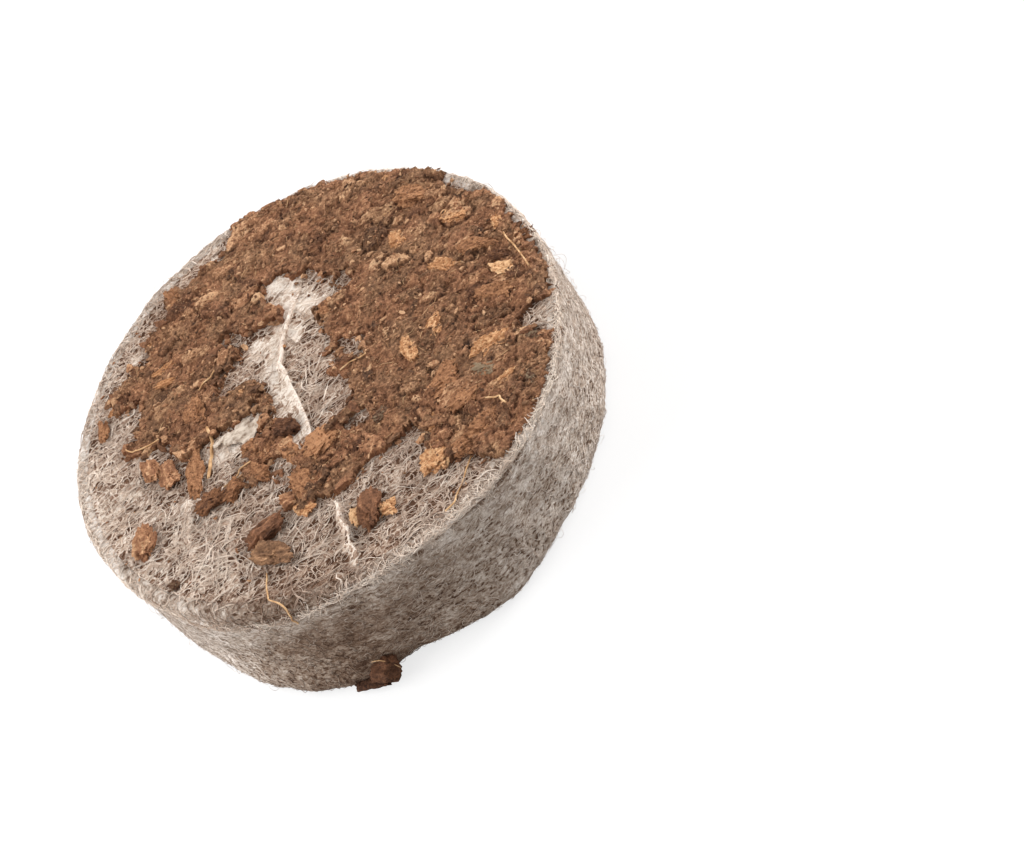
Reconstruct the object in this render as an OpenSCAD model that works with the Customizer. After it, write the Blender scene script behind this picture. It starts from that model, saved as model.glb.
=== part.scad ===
// Dry coir pellet: a disc of pressed coconut coir in a thin fleece bag, with a caked crust
// of coir crumbs, loose husk chips and stray coir fibres on its top sheet.
// Millimetres, +Z up, origin at the centre of the underside.

/* [Pellet] */
// Diameter over the fleece wall
pellet_d = 42; // [36:0.5:50]
// Height from the floor to the top sheet
pellet_h = 10.7; // [8:0.1:15]
// Radius pressed on the core's top edge
core_top_edge_r = 0.3; // [0.15:0.05:1]
// Radius pressed on the core's bottom edge
core_base_edge_r = 0.7; // [0.15:0.05:1.5]

/* [Fleece bag] */
// Thickness of the fleece
fleece_t = 0.35; // [0.2:0.05:0.6]
// Slack between the core and the wall around it
core_slack = 0.05; // [0.02:0.01:0.2]
// Width of wall folded in over the rim, past its rounded corner
rim_fold_w = 0.6; // [0.3:0.1:2]
// Gap where an end sheet meets the folded wall
seam_gap = 0.05; // [0.02:0.01:0.2]
// Radius of the rolled seam around the top rim
seam_r = 0.3; // [0.2:0.05:0.5]
// How far the rolled seam stands out from the wall
seam_proud = 0.12; // [0:0.02:0.3]

/* [Folds in the top sheet] */
// Height of the pleat across the middle
pleat_h = 0.6; // [0.3:0.05:1]
// Width of the pleat's flap, from its ridge
pleat_flap_w = 1.5; // [0.8:0.1:2]
// Width of the pleat's steep side
pleat_back_w = 0.4; // [0.2:0.05:0.8]
// Height of the crease at the front
crease_h = 0.35; // [0.2:0.05:0.6]
// Width of the crease's flap, from its ridge
crease_flap_w = 0.6; // [0.3:0.1:1]
// Width of the crease's steep side
crease_back_w = 0.3; // [0.2:0.05:0.6]

/* [Coir crust] */
// Thickness of the caked layer between its crumbs
crust_t = 0.3; // [0.2:0.05:0.8]
// Distance the crust keeps from the edge of the pellet
crust_rim_gap = 0.5; // [0.2:0.1:2]
// Spacing of the crumbs
crumb_pitch = 2; // [1.8:0.1:3]
// Smallest crumb
crumb_d_min = 1; // [0.8:0.1:2]
// Largest crumb
crumb_d_max = 2.6; // [2:0.1:3]
// Least height of a crumb above the caked layer
crumb_rise_min = 0.1; // [0.05:0.05:0.3]
// Most height of a crumb above the caked layer
crumb_rise_max = 0.45; // [0.3:0.05:0.8]

/* [Lumps, chips and fibres] */
// Height of the coir lumps that lie on bare fleece
lump_h = 0.8; // [0.4:0.1:1.2]
// Thickness of the husk chips
chip_t = 0.5; // [0.2:0.1:0.8]
// Diameter of a coir fibre
fibre_d = 0.24; // [0.15:0.01:0.35]
// Room left between loose pieces and their neighbours
loose_gap = 0.1; // [0.05:0.05:0.3]
// Height of the coir clod that clings to the wall's foot
foot_clod_h = 2.2; // [1:0.1:4]
// How far that clod stands out from the wall
foot_clod_out = 1.9; // [1:0.1:3]
// Length of that clod along the wall
foot_clod_l = 3; // [2:0.1:5]

/* [Hidden] */
$fn = 96;
pellet_r = pellet_d / 2;
rim_top_r = core_top_edge_r + fleece_t;
rim_base_r = core_base_edge_r + fleece_t;
top_sheet_r = pellet_r - rim_top_r - rim_fold_w - seam_gap;
base_sheet_r = pellet_r - rim_base_r - rim_fold_w - seam_gap;
crust_r = pellet_r - crust_rim_gap;

// Plan positions are drawn on a pellet of this diameter, and spread with the real one.
plan_d = 42;
function on_top(p) = [p.x, p.y] * pellet_d / plan_d;
function outline(points) = [for (p = points) on_top(p)];

// Edge of the crust, from the right-hand rim round the front, the left and the back.
crust_edge = [
    [22, 3.2], [20.3, 0], [19.8, -2.8], [20.2, -4], [19.2, -5.6], [18.9, -8.5], [17.9, -10.2],
    [16.2, -10.2], [14.6, -10.2], [14.6, -11.6], [15.6, -13.2], [13.8, -14.2], [13.7, -16.2],
    [12, -17], [9, -18], [7, -19.1], [5.4, -18.8], [5.2, -17.3], [3.4, -16.9], [2.1, -15.8],
    [3, -13.8], [3.6, -12.2], [0.5, -11.8], [-1.5, -12.3], [-4, -12], [-6.3, -11], [-7.6, -9.4],
    [-6.6, -8.3], [-7.5, -6.3], [-9.1, -6], [-10.6, -5.1], [-12.6, -4.2], [-12.8, -3],
    [-10, -3], [-7.5, -2.9], [-7.3, -1.6], [-5.3, -0.9], [-5, 1.1], [-6.6, 0.7], [-8, 1.5],
    [-9.8, 1.7], [-11.7, 2], [-12, 4.5], [-13.6, 5.1], [-15, 6.3], [-14.8, 7.6], [-12.5, 8.7],
    [-11.7, 9.9], [-13.8, 11], [-13.6, 12.9], [-11.5, 14.5], [-9, 14.3], [-8.2, 16.3],
    [-5.3, 17], [-4.8, 19], [-3.3, 19], [-2.8, 18.1], [1.8, 18.3], [3.3, 19.6], [4, 22],
    [20, 16], [20, 8], [18.6, 6.2], [19.4, 3.4],
];

// Windows in the crust where the fleece shows: the middle, right of it, and two at the front.
middle_window = [
    [1.6, 10.4], [2, 11.6], [4.1, 10.7], [3.5, 9.4], [5.9, 9.3], [5.6, 7.8], [6.4, 7], [6.2, 5.2],
    [3.3, 5.6], [3.3, 2.3], [2.2, 0.6], [1.3, -2], [2.1, -3.4], [1.2, -5.6], [-2, -5.4],
    [-4.1, -5.4], [-3.9, -4.2], [-2.6, -3.5], [-4.2, -1.9], [-2.9, 0.2], [-3.1, 2.1],
    [-3, 3.9], [-6.2, 4.6], [-4.6, 6.5], [-1.7, 6.5], [-3.1, 9.6], [-0.8, 7.7], [1.3, 7],
    [2.5, 7.9], [1.8, 9],
];
right_window = [[3.5, -0.4], [4.1, 0.5], [4.9, -0.9], [4.4, -2], [3.6, -1.6]];
front_window = [[0.2, -6.4], [1.3, -6.6], [1.5, -7.4], [0.6, -7.6]];
left_window = [[-6.6, -5], [-5.4, -4.9], [-5.2, -6.2], [-6, -7.2], [-6.4, -6.4]];
windows = [middle_window, right_window, front_window, left_window];

// Ridge lines of the pleat across the middle and of the crease at the front.
pleat_ridge = [[3.9, 8.2], [1.5, 6], [-0.5, 3.8], [-1.3, 1.5], [-1.6, -1.2], [-2.3, -4.4]];
crease_ridge = [[-4.5, -13], [-4.9, -15], [-5, -16.6], [-4.5, -18.4]];

// Chips and lumps: plan position, length, width, turn, and 1 on the crust or 0 on the fleece.
tan_chips = [
    [16.5, -5.6, 2.2, 1.1, -65, 1], [7.2, -5.6, 2.6, 1.1, 75, 1], [9.7, -5, 1.9, 1.2, 50, 1],
    [11.9, -10.8, 2.9, 2.1, -20, 1], [13.7, -0.8, 2.8, 1, -60, 1], [17.2, 2.7, 1.9, 1.2, -30, 1],
    [12.7, 5, 1.7, 1.4, 60, 1], [15.6, 11.9, 1, 0.6, -20, 1], [5, -13.5, 2.3, 1.6, 70, 1],
    [3.6, -15.6, 1.8, 1.5, 80, 1], [-8, 11.6, 2.6, 0.7, -5, 1], [-8.2, 9.9, 3.6, 0.6, -3, 1],
    [19.1, -0.9, 1.5, 0.9, 75, 1], [10.8, -14.3, 1.7, 0.8, -10, 1],
    [-3.9, -14.6, 0.9, 0.8, 0, 0], [-1.4, -16.2, 1.2, 1, 30, 0],
];
brown_chips = [
    [-2.5, -6.9, 2.9, 1.7, 12, 1], [-8.7, 4.8, 3, 2, 70, 1], [16.4, 8, 2.8, 2.2, -30, 1],
    [7.8, -10.4, 3.2, 2, 10, 1], [8.2, -13, 3, 1.6, 20, 1], [14.7, -6.8, 2.8, 1.5, -50, 1],
    [16.6, -1.6, 2.8, 1.2, -40, 1], [-4.1, 17.9, 1.8, 1.4, 80, 1], [4.8, 4.3, 1.5, 1.2, -20, 1],
    [7.4, -16.6, 2.8, 1.7, 25, 1], [-11.3, 0, 3.4, 1.3, 63, 0], [-15.3, 11, 1.9, 0.9, 40, 0],
];
dark_chips = [
    [2.4, -8.8, 1.7, 0.8, 15, 1], [2.9, -1.2, 0.7, 0.6, 0, 1], [10.2, -12.5, 1.4, 0.8, -50, 1],
    [12.2, -15.8, 1.4, 0.7, 70, 1], [-11.6, -3.8, 1.6, 1, -30, 1], [14.6, -13.1, 1.2, 0.7, -40, 1],
    [-17.5, -8.1, 1.1, 0.6, -70, 0],
];
fleece_lumps = [
    [-17.5, -2.1, 2.6, 2.4, 0, 0], [-13.8, 3.5, 1.8, 1.4, 60, 0], [-13.3, 1.8, 1.6, 1.3, 10, 0],
    [-9.6, -9.9, 3, 1.8, -30, 0], [-10.9, -12.6, 3.2, 1.8, -50, 0], [-2.8, -15.6, 2.4, 1.2, -70, 0],
];

// Stray fibres: plan position of each bend, and 1 at crust height or 0 on the fleece.
fibre_routes = [
    [[-8.4, 2.9, 1], [-9.2, 1.2, 1], [-10, -0.2, 0.6], [-10.6, -1.4, 0]],
    [[-14.6, 7, 1], [-13.8, 6, 1], [-12, 5.3, 1]],
    [[-7.2, 6.7, 1], [-6.3, 6.8, 1], [-5.2, 7.2, 1]],
    [[-10.2, -3.5, 1], [-8.8, -3.3, 1], [-7.4, -3.5, 1]],
    [[2.2, -2.3, 1], [3.2, -2.4, 1], [4.6, -2.8, 1]],
    [[18.7, -2.4, 1], [18.5, -4.5, 1], [18.1, -7.4, 1]],
    [[-11.8, -14, 0], [-12.7, -15, 0], [-12.5, -15.8, 0]],
    [[8.8, -14.8, 1], [9.6, -15.6, 1], [9.6, -16.6, 1]],
    [[1.6, -19.3, 0], [2.8, -18.8, 0], [4.2, -18.1, 0]],
];

// Plan geometry: is a point inside an outline, and how far is it from a line?
function inside(p, edge) =
    len([
        for (i = [0 : len(edge) - 1])
            let (a = edge[i], b = edge[(i + 1) % len(edge)])
            if ((a.y > p.y) != (b.y > p.y) && p.x < a.x + (b.x - a.x) * (p.y - a.y) / (b.y - a.y)) i
    ]) % 2 == 1;
function clamp_share(s) = min(1, max(0, s));
function line_distance(p, a, b) =
    let (d = b - a, s = clamp_share((p - a) * d / max(d * d, 0.0001))) norm(p - a - s * d);

// A loose piece is kept clear of as a line with a half width: [start, end, half width].
function chip_strip(c) =
    let (half = [cos(c[4]), sin(c[4])] * max(c[2] - c[3], 0) / 2, middle = on_top(c))
    [middle - half, middle + half, c[3] / 2];
function route_strips(route, half_w) =
    [for (i = [0 : len(route) - 2]) [on_top(route[i]), on_top(route[i + 1]), half_w]];
chip_strips = [for (c = concat(tan_chips, brown_chips, dark_chips, fleece_lumps)) chip_strip(c)];
fibre_strips = [for (route = fibre_routes) each route_strips(route, fibre_d / 2)];
fold_strips = concat(
    route_strips(pleat_ridge, pleat_flap_w), route_strips(crease_ridge, crease_flap_w)
);
keep_clear = concat(chip_strips, fibre_strips, fold_strips);
function room_around(p) = min([for (s = keep_clear) line_distance(p, s[0], s[1]) - s[2]]) - loose_gap;

// A smooth curve through hand-placed points, with steps stations to each stretch.
function spline_point(a, b, c, d, s) =
    0.5 * (2 * b + (c - a) * s + (2 * a - 5 * b + 4 * c - d) * s ^ 2 + (3 * b - a - 3 * c + d) * s ^ 3);
function smooth_curve(points, steps) =
    let (last = len(points) - 1)
    concat(
        [
            for (i = [0 : last - 1])
                for (s = [0 : steps - 1])
                    spline_point(
                        points[max(i - 1, 0)], points[i], points[i + 1],
                        points[min(i + 2, last)], s / steps
                    )
        ],
        [points[last]]
    );
function direction(curve, i) =
    let (d = curve[min(i + 1, len(curve) - 1)] - curve[max(i - 1, 0)]) d / norm(d);

// Faces of a closed tube of stations, each a ring of as many points.
function tube_faces(stations, sides) =
    concat(
        [[for (j = [0 : sides - 1]) j]],
        [
            for (i = [0 : stations - 2])
                for (j = [0 : sides - 1])
                    each let (a = i * sides + j, b = i * sides + (j + 1) % sides)
                        [[a, a + sides, b + sides], [a, b + sides, b]]
        ],
        [[for (j = [sides - 1 : -1 : 0]) (stations - 1) * sides + j]]
    );

// Half section of a disc with rounded edges, to be turned about its axis.
module disc_section(r, z_low, z_high, low_edge_r, high_edge_r) {
    translate([0, z_low]) square([r - low_edge_r, low_edge_r]);
    translate([0, z_low + low_edge_r]) square([r, z_high - z_low - low_edge_r - high_edge_r]);
    translate([0, z_high - high_edge_r]) square([r - high_edge_r, high_edge_r]);
    translate([r - low_edge_r, z_low + low_edge_r]) circle(low_edge_r);
    translate([r - high_edge_r, z_high - high_edge_r]) circle(high_edge_r);
}

// A ragged outline about an oval, as a torn chip or a crumb has.
ragged_sides = 7;
ragged_least = 0.78;
function ragged_ring(l, w, seed) =
    let (k = rands(ragged_least, 1, ragged_sides, seed))
    [
        for (i = [0 : ragged_sides - 1])
            let (a = 360 * i / ragged_sides) [l / 2 * k[i] * cos(a), w / 2 * k[i] * sin(a)]
    ];

// A flat chip with a bevelled upper edge.
module chip(l, w, t, seed) {
    edge_share = 0.6;
    bevel_share = 0.82;
    foot = ragged_ring(l, w, seed);
    rings = [for (level = [[0, 1], [t * edge_share, 1], [t, bevel_share]])
        each [for (p = foot) [p.x * level[1], p.y * level[1], level[0]]]];
    polyhedron(rings, tube_faces(3, ragged_sides));
}

// A rounded crumb or lump with a flat foot and an uneven crown.
module crumb(l, w, h, seed) {
    shoulder_h = h * 0.55;
    shoulder_share = 0.9;
    crown_share = 0.55;
    crown_dip = 0.25;
    foot = ragged_ring(l, w, seed);
    dip = rands(0, crown_dip, ragged_sides, seed + 1);
    levels = [[0, 1, 0], [shoulder_h, shoulder_share, 0], [h, crown_share, h]];
    rings = [for (level = levels) each [
        for (i = [0 : ragged_sides - 1])
            [foot[i].x * level[1], foot[i].y * level[1], level[0] - dip[i] * level[2]]
    ]];
    hull() polyhedron(rings, tube_faces(3, ragged_sides));
}

module place_loose(c) {
    translate(concat(on_top(c), pellet_h + c[5] * crust_t)) rotate(c[4]) children();
}

module chips(list, first_seed) {
    for (i = [0 : len(list) - 1])
        place_loose(list[i]) chip(list[i][2], list[i][3], chip_t, first_seed + i);
}

// A fold of fleece: a steep side up to the ridge, and a flap that slopes away on its left.
module fold(ridge, h, flap_w, back_w) {
    steps = 3;
    root = fleece_t / 2;
    end_share = 0.25;
    knee_w = flap_w * 0.55;
    knee_share = 0.6;
    curve = smooth_curve(outline(ridge), steps);
    last = len(curve) - 1;
    rings = [for (i = [0 : last])
        let (
            d = direction(curve, i), side = [d.y, -d.x],
            swell = end_share + (1 - end_share) * sin(180 * i / last), top = h * swell
        )
        each [
            for (s = [[-back_w, -root], [0, top], [knee_w, top * knee_share], [flap_w, -root]])
                concat(curve[i] + side * s[0] * swell, pellet_h + s[1])
        ]];
    polyhedron(rings, tube_faces(last + 1, 4));
}

// A coir fibre: a round tube along its route.
module fibre(route) {
    sides = 6;
    steps = 3;
    curve = smooth_curve(
        [for (p = route) concat(on_top(p), pellet_h + p[2] * crust_t + fibre_d / 2)], steps
    );
    last = len(curve) - 1;
    rings = [for (i = [0 : last])
        let (d = direction(curve, i), side = [d.y, -d.x, 0] / norm([d.x, d.y]), down = cross(d, side))
        each [for (j = [0 : sides - 1])
            curve[i] + (side * cos(360 * j / sides) + down * sin(360 * j / sides)) * fibre_d / 2]];
    polyhedron(rings, tube_faces(last + 1, sides));
}

// The pressed disc of coir.
module coir_core() {
    color("#6b4429")
    rotate_extrude()
        disc_section(
            pellet_r - fleece_t - core_slack, fleece_t, pellet_h - fleece_t,
            core_base_edge_r, core_top_edge_r
        );
}

// The fleece wall, folded in over both rims, with a rolled seam around the top.
module fleece_sleeve() {
    color("#9c8f83")
    rotate_extrude()
    difference() {
        union() {
            disc_section(pellet_r, 0, pellet_h, rim_base_r, rim_top_r);
            translate([pellet_r + seam_proud - seam_r, pellet_h - rim_top_r]) circle(seam_r);
        }
        disc_section(
            pellet_r - fleece_t, fleece_t, pellet_h - fleece_t, core_base_edge_r, core_top_edge_r
        );
        translate([0, -fleece_t]) square([base_sheet_r + seam_gap, pellet_h / 2]);
        translate([0, pellet_h / 2]) square([top_sheet_r + seam_gap, pellet_h]);
    }
}

// The top sheet, with its pleat across the middle and its crease at the front.
module fleece_top() {
    color("#beb2a8") {
        translate([0, 0, pellet_h - fleece_t]) cylinder(r = top_sheet_r, h = fleece_t);
        fold(pleat_ridge, pleat_h, pleat_flap_w, pleat_back_w);
        fold(crease_ridge, crease_h, crease_flap_w, crease_back_w);
    }
}

// The sheet that the pellet stands on.
module fleece_bottom() {
    color("#9c8f83")
    cylinder(r = base_sheet_r, h = fleece_t);
}

// Plan of the caked layer: its edge, kept inside the rim, less the windows.
module crust_plan() {
    difference() {
        intersection() {
            polygon(outline(crust_edge));
            circle(crust_r);
        }
        for (w = windows) polygon(outline(w));
    }
}

// Crumbs on a shaken grid, smaller beside another piece, and left out where none has room.
crumb_shake = 0.3;
crumb_roundness = 0.7;
crumb_seed = 11;
edge_plan = outline(crust_edge);
window_plans = [for (w = windows) outline(w)];
function on_crust(p) =
    inside(p, edge_plan) && len([for (w = window_plans) if (inside(p, w)) 1]) == 0;

module crumbs() {
    rows = ceil(pellet_r / crumb_pitch);
    for (row = [-rows : rows])
        for (column = [-rows : rows]) {
            seed = crumb_seed + (row + rows) * 100 + column + rows;
            k = rands(0, 1, 6, seed);
            shake = [k[0] - 0.5, k[1] - 0.5] * 2 * crumb_shake;
            stagger = row % 2 == 0 ? 0 : 0.5;
            p = ([column + stagger, row] + shake) * crumb_pitch;
            wanted = crumb_d_min + (crumb_d_max - crumb_d_min) * k[2];
            l = min(wanted, 2 * room_around(p), 2 * (crust_r - norm(p)));
            w = l * (crumb_roundness + (1 - crumb_roundness) * k[3]);
            h = crust_t + crumb_rise_min + (crumb_rise_max - crumb_rise_min) * k[4];
            if (l >= crumb_d_min && on_crust(p))
                translate([p.x, p.y, pellet_h]) rotate(360 * k[5]) crumb(l, w, h, seed);
        }
}

// The caked layer of coir on the top sheet.
module coir_crust() {
    color("#7a4d2f") {
        translate([0, 0, pellet_h]) linear_extrude(crust_t) crust_plan();
        crumbs();
    }
}

// Lumps of coir on bare fleece.
module coir_lumps() {
    lump_seed = 300;
    color("#8a5531")
    for (i = [0 : len(fleece_lumps) - 1])
        place_loose(fleece_lumps[i])
            crumb(fleece_lumps[i][2], fleece_lumps[i][3], lump_h, lump_seed + i);
}

// Chips of husk, by colour, each list with its own run of torn outlines.
tan_seed = 400;
brown_seed = 500;
dark_seed = 600;
module husk_chips_tan() { color("#cf9a66") chips(tan_chips, tan_seed); }
module husk_chips_brown() { color("#8c5636") chips(brown_chips, brown_seed); }
module husk_chips_dark() { color("#3d2a20") chips(dark_chips, dark_seed); }

// Stray hairs of coir.
module coir_fibres() {
    color("#c79c62")
    for (route = fibre_routes) fibre(route);
}

// A clod of coir that clings to the foot of the wall, a tall crumb and a flat one beside it.
module foot_clod() {
    clod_angle = -119;
    tall_seed = 702;
    flat_seed = 704;
    flat_share = 0.5;
    flat_size = 0.8;
    reach = 2 * foot_clod_out;
    color("#5e3a27")
    difference() {
        rotate(clod_angle) translate([pellet_r, 0, 0]) {
            crumb(reach, foot_clod_l, foot_clod_h, tall_seed);
            translate([0, -foot_clod_l * flat_share, 0])
                crumb(reach * flat_size, foot_clod_l * flat_size, foot_clod_h * flat_share, flat_seed);
        }
        translate([0, 0, -pellet_h / 2]) cylinder(r = pellet_r + loose_gap, h = 2 * pellet_h);
    }
}

coir_core();
fleece_sleeve();
fleece_top();
fleece_bottom();
coir_crust();
coir_lumps();
husk_chips_tan();
husk_chips_brown();
husk_chips_dark();
coir_fibres();
foot_clod();
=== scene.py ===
import math
import random

import bpy
import numpy as np
from mathutils import Matrix, Vector, noise
from mathutils.geometry import delaunay_2d_cdt


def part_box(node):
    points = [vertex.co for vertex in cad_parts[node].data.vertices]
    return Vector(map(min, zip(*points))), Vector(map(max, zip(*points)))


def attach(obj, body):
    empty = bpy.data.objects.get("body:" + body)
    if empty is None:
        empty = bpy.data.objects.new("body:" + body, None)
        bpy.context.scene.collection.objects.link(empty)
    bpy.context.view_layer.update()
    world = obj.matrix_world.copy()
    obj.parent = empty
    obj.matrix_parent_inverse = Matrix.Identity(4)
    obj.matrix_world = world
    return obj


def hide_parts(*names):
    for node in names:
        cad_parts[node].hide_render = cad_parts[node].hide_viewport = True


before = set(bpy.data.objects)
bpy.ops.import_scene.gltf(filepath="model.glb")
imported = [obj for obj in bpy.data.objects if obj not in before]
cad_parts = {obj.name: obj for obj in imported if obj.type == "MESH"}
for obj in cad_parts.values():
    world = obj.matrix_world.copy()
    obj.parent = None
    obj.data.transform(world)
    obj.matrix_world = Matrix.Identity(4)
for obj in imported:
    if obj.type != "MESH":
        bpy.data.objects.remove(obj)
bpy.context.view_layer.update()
bpy.ops.object.select_all(action="DESELECT")

# The camera
# It stands in front of the pellet and looks down on it, rolled as the photograph is, with its place
# and aim found from the pellet's rim and foot.
MM = 0.001
camera_place = Vector((0, -119.23, 117.83)) * MM
camera_aim = Vector((8.77, -18.24, 10.68)) * MM
camera_up = Vector((0.6539, 0.5231, 0.5466))
camera_lens_mm = 72.43
camera_sensor_mm = 36

bpy.ops.object.camera_add()
camera = bpy.context.object
look = (camera_aim - camera_place).normalized()
across = look.cross(camera_up).normalized()
camera_axes = Matrix((across, across.cross(look), -look)).transposed().to_4x4()
camera.matrix_world = Matrix.Translation(camera_place) @ camera_axes
camera.data.lens = camera_lens_mm
camera.data.sensor_width = camera_sensor_mm
camera.data.clip_start = 2 * MM
bpy.context.scene.camera = camera

# The studio
# A plain pale floor under an even white sky, a large soft lamp behind on the left, which draws the
# shadow beside the pleat, and one low on each side, which brighten the sides of the wall.
sky_level = 0.50
floor_size = 4.0
floor_gap = 0.25 * MM
floor_white = 0.6
floor_glow = 0.74
floor_share = 0.32
lamps = {
    "back_left_lamp": {"place": (-0.30, 0.22, 0.42), "size": 0.30, "watts": 1.45},
    "left_lamp": {"place": (-0.54, 0.02, 0.18), "size": 0.30, "watts": 2.0},
    "right_lamp": {"place": (0.52, 0.10, 0.13), "size": 0.30, "watts": 4.2},
}

bpy.context.scene.view_settings.view_transform = "Standard"
sky = bpy.data.worlds.new("even_sky")
sky.use_nodes = True
bpy.context.scene.world = sky


def feed(tree, socket, source):
    """Gives an input its value, or links it to the output that it takes its value from."""
    if isinstance(source, bpy.types.NodeSocket):
        tree.links.new(source, socket)
    else:
        socket.default_value = source


def add_node(tree, kind, *inputs, **values):
    """A new node, with inputs given in order, and other inputs or settings given by name."""
    node = tree.nodes.new(kind)
    for key, value in values.items():
        if key in node.inputs:
            feed(tree, node.inputs[key], value)
        else:
            setattr(node, key, value)
    for socket, value in zip(node.inputs, inputs):
        feed(tree, socket, value)
    return node


def add_math(tree, operation, *inputs):
    """An amount worked out from others."""
    return add_node(tree, "ShaderNodeMath", *inputs, operation=operation).outputs[0]


def seen_directly(tree):
    """1 for rays from the camera, a mirror or glass, and 0 for light on the object."""
    rays = add_node(tree, "ShaderNodeLightPath").outputs
    mirror_or_glass = add_math(tree, "MAXIMUM", rays["Is Glossy Ray"], rays["Is Transmission Ray"])
    return add_math(tree, "MAXIMUM", rays["Is Camera Ray"], mirror_or_glass)


sky_tree = sky.node_tree
sky_strength = add_node(sky_tree, "ShaderNodeMapRange", seen_directly(sky_tree), clamp=False)
feed(sky_tree, sky_strength.inputs["To Min"], sky_level)
feed(sky_tree, sky_strength.inputs["To Max"], 1.0)
sky_glow = sky_tree.nodes["Background"]
feed(sky_tree, sky_glow.inputs["Color"], (1, 1, 1, 1))
feed(sky_tree, sky_glow.inputs["Strength"], sky_strength.outputs["Result"])

bpy.ops.mesh.primitive_plane_add(size=floor_size, location=(0, 0, -floor_gap))
floor = bpy.context.object
floor.name = "floor"
floor_paper = bpy.data.materials.new("floor_paper")
floor_paper.use_nodes = True
floor_tree = floor_paper.node_tree
floor_tree.nodes.remove(floor_tree.nodes["Principled BSDF"])
floor_matt = add_node(floor_tree, "ShaderNodeBsdfDiffuse", Color=(floor_white,) * 3 + (1,))
floor_light = add_node(floor_tree, "ShaderNodeEmission", Strength=floor_glow)
floor_dim = add_node(floor_tree, "ShaderNodeBsdfDiffuse", Color=(floor_share,) * 3 + (1,))
floor_sum = add_node(floor_tree, "ShaderNodeAddShader", floor_light.outputs[0], floor_dim.outputs[0])
floor_pick = add_node(
    floor_tree, "ShaderNodeMixShader", seen_directly(floor_tree), floor_matt.outputs[0],
    floor_sum.outputs[0],
)
feed(floor_tree, floor_tree.nodes["Material Output"].inputs["Surface"], floor_pick.outputs[0])
floor.data.materials.append(floor_paper)

for lamp_name, lamp in lamps.items():
    bpy.ops.object.light_add(type="AREA", location=lamp["place"])
    lamp_object = bpy.context.object
    lamp_object.name = lamp_name
    lamp_object.data.size = lamp["size"]
    lamp_object.data.energy = lamp["watts"]
    lamp_object.rotation_euler = (-Vector(lamp["place"])).to_track_quat("-Z", "Y").to_euler()

# The pressed core
# A disc of coconut coir pressed dry, dark and matt. The bag hides it, so the solid itself stays and
# only takes the finish of pressed coir.


def paint(red, green, blue):
    """A colour as a screen shows it, from 0 to 255, turned into light."""
    shown = [part / 255 for part in (red, green, blue)]
    light = [s / 12.92 if s <= 0.04045 else ((s + 0.055) / 1.055) ** 2.4 for s in shown]
    return (*light, 1)


def start_material(name, roughness):
    """A matt material to add nodes to: the material, its node tree and its surface shader."""
    material = bpy.data.materials.new(name)
    material.use_nodes = True
    surface = material.node_tree.nodes["Principled BSDF"]
    surface.inputs["Roughness"].default_value = roughness
    surface.inputs["Specular IOR Level"].default_value = 0.25
    return material, material.node_tree, surface


def on_piece(tree, per_mm, stretch):
    """Places on the piece itself, with per_mm steps to the millimetre."""
    place = add_node(tree, "ShaderNodeTexCoord").outputs["Object"]
    steps = [s * per_mm / MM for s in stretch]
    return add_node(tree, "ShaderNodeMapping", place, Scale=steps).outputs["Vector"]


def add_noise(tree, per_mm, detail, stretch=(1, 1, 1)):
    """Noise fixed to the piece, with about per_mm bumps to the millimetre."""
    place = on_piece(tree, per_mm, stretch)
    cloud = add_node(tree, "ShaderNodeTexNoise", place, Scale=1.0, Detail=detail, Roughness=0.6)
    return cloud.outputs["Fac"]


def add_cells(tree, per_mm, feature, output, wobble, stretch=(1, 1, 1)):
    """A pattern of uneven cells fixed to the piece, with about per_mm cells to the millimetre."""
    place = on_piece(tree, per_mm, stretch)
    cloud = add_node(tree, "ShaderNodeTexNoise", place, Scale=1.3, Detail=3.0).outputs["Color"]
    bend = add_node(
        tree, "ShaderNodeVectorMath", cloud, (wobble * 2,) * 3, place, operation="MULTIPLY_ADD"
    )
    cells = add_node(tree, "ShaderNodeTexVoronoi", bend.outputs["Vector"], feature=feature, Scale=1.0)
    return cells.outputs[output]


def add_range(tree, amount, low, high, to_low=0.0, to_high=1.0):
    """An amount stretched smoothly from one range to another."""
    span = add_node(
        tree, "ShaderNodeMapRange", amount, low, high, to_low, to_high, interpolation_type="SMOOTHSTEP"
    )
    return span.outputs["Result"]


def add_sum(tree, *parts):
    """A sum of amounts, each with its own weight."""
    total = 0.0
    for amount, weight in parts:
        total = add_math(tree, "MULTIPLY_ADD", amount, weight, total)
    return total


def read_amount(tree, name):
    """The number that each point of a piece stores under a name."""
    return add_node(tree, "ShaderNodeAttribute", attribute_name=name).outputs["Fac"]


def add_ramp(tree, amount, stops):
    """Colours laid out along an amount from 0 to 1."""
    ramp = add_node(tree, "ShaderNodeValToRGB", amount)
    ends = ramp.color_ramp.elements
    while len(ends) < len(stops):
        ends.new(0.5)
    for end, (place, colour) in zip(ends, stops):
        end.position = place
        end.color = paint(*colour)
    return ramp.outputs["Color"]


def colour_surface(tree, surface, amount, stops):
    """Colours a surface along an amount."""
    feed(tree, surface.inputs["Base Color"], add_ramp(tree, amount, stops))


def add_bump(tree, surface, height, depth_mm, strength):
    """Relief from a height between 0 and 1."""
    bump = add_node(tree, "ShaderNodeBump", Strength=strength, Distance=depth_mm * MM, Height=height)
    feed(tree, surface.inputs["Normal"], bump.outputs["Normal"])


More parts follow.
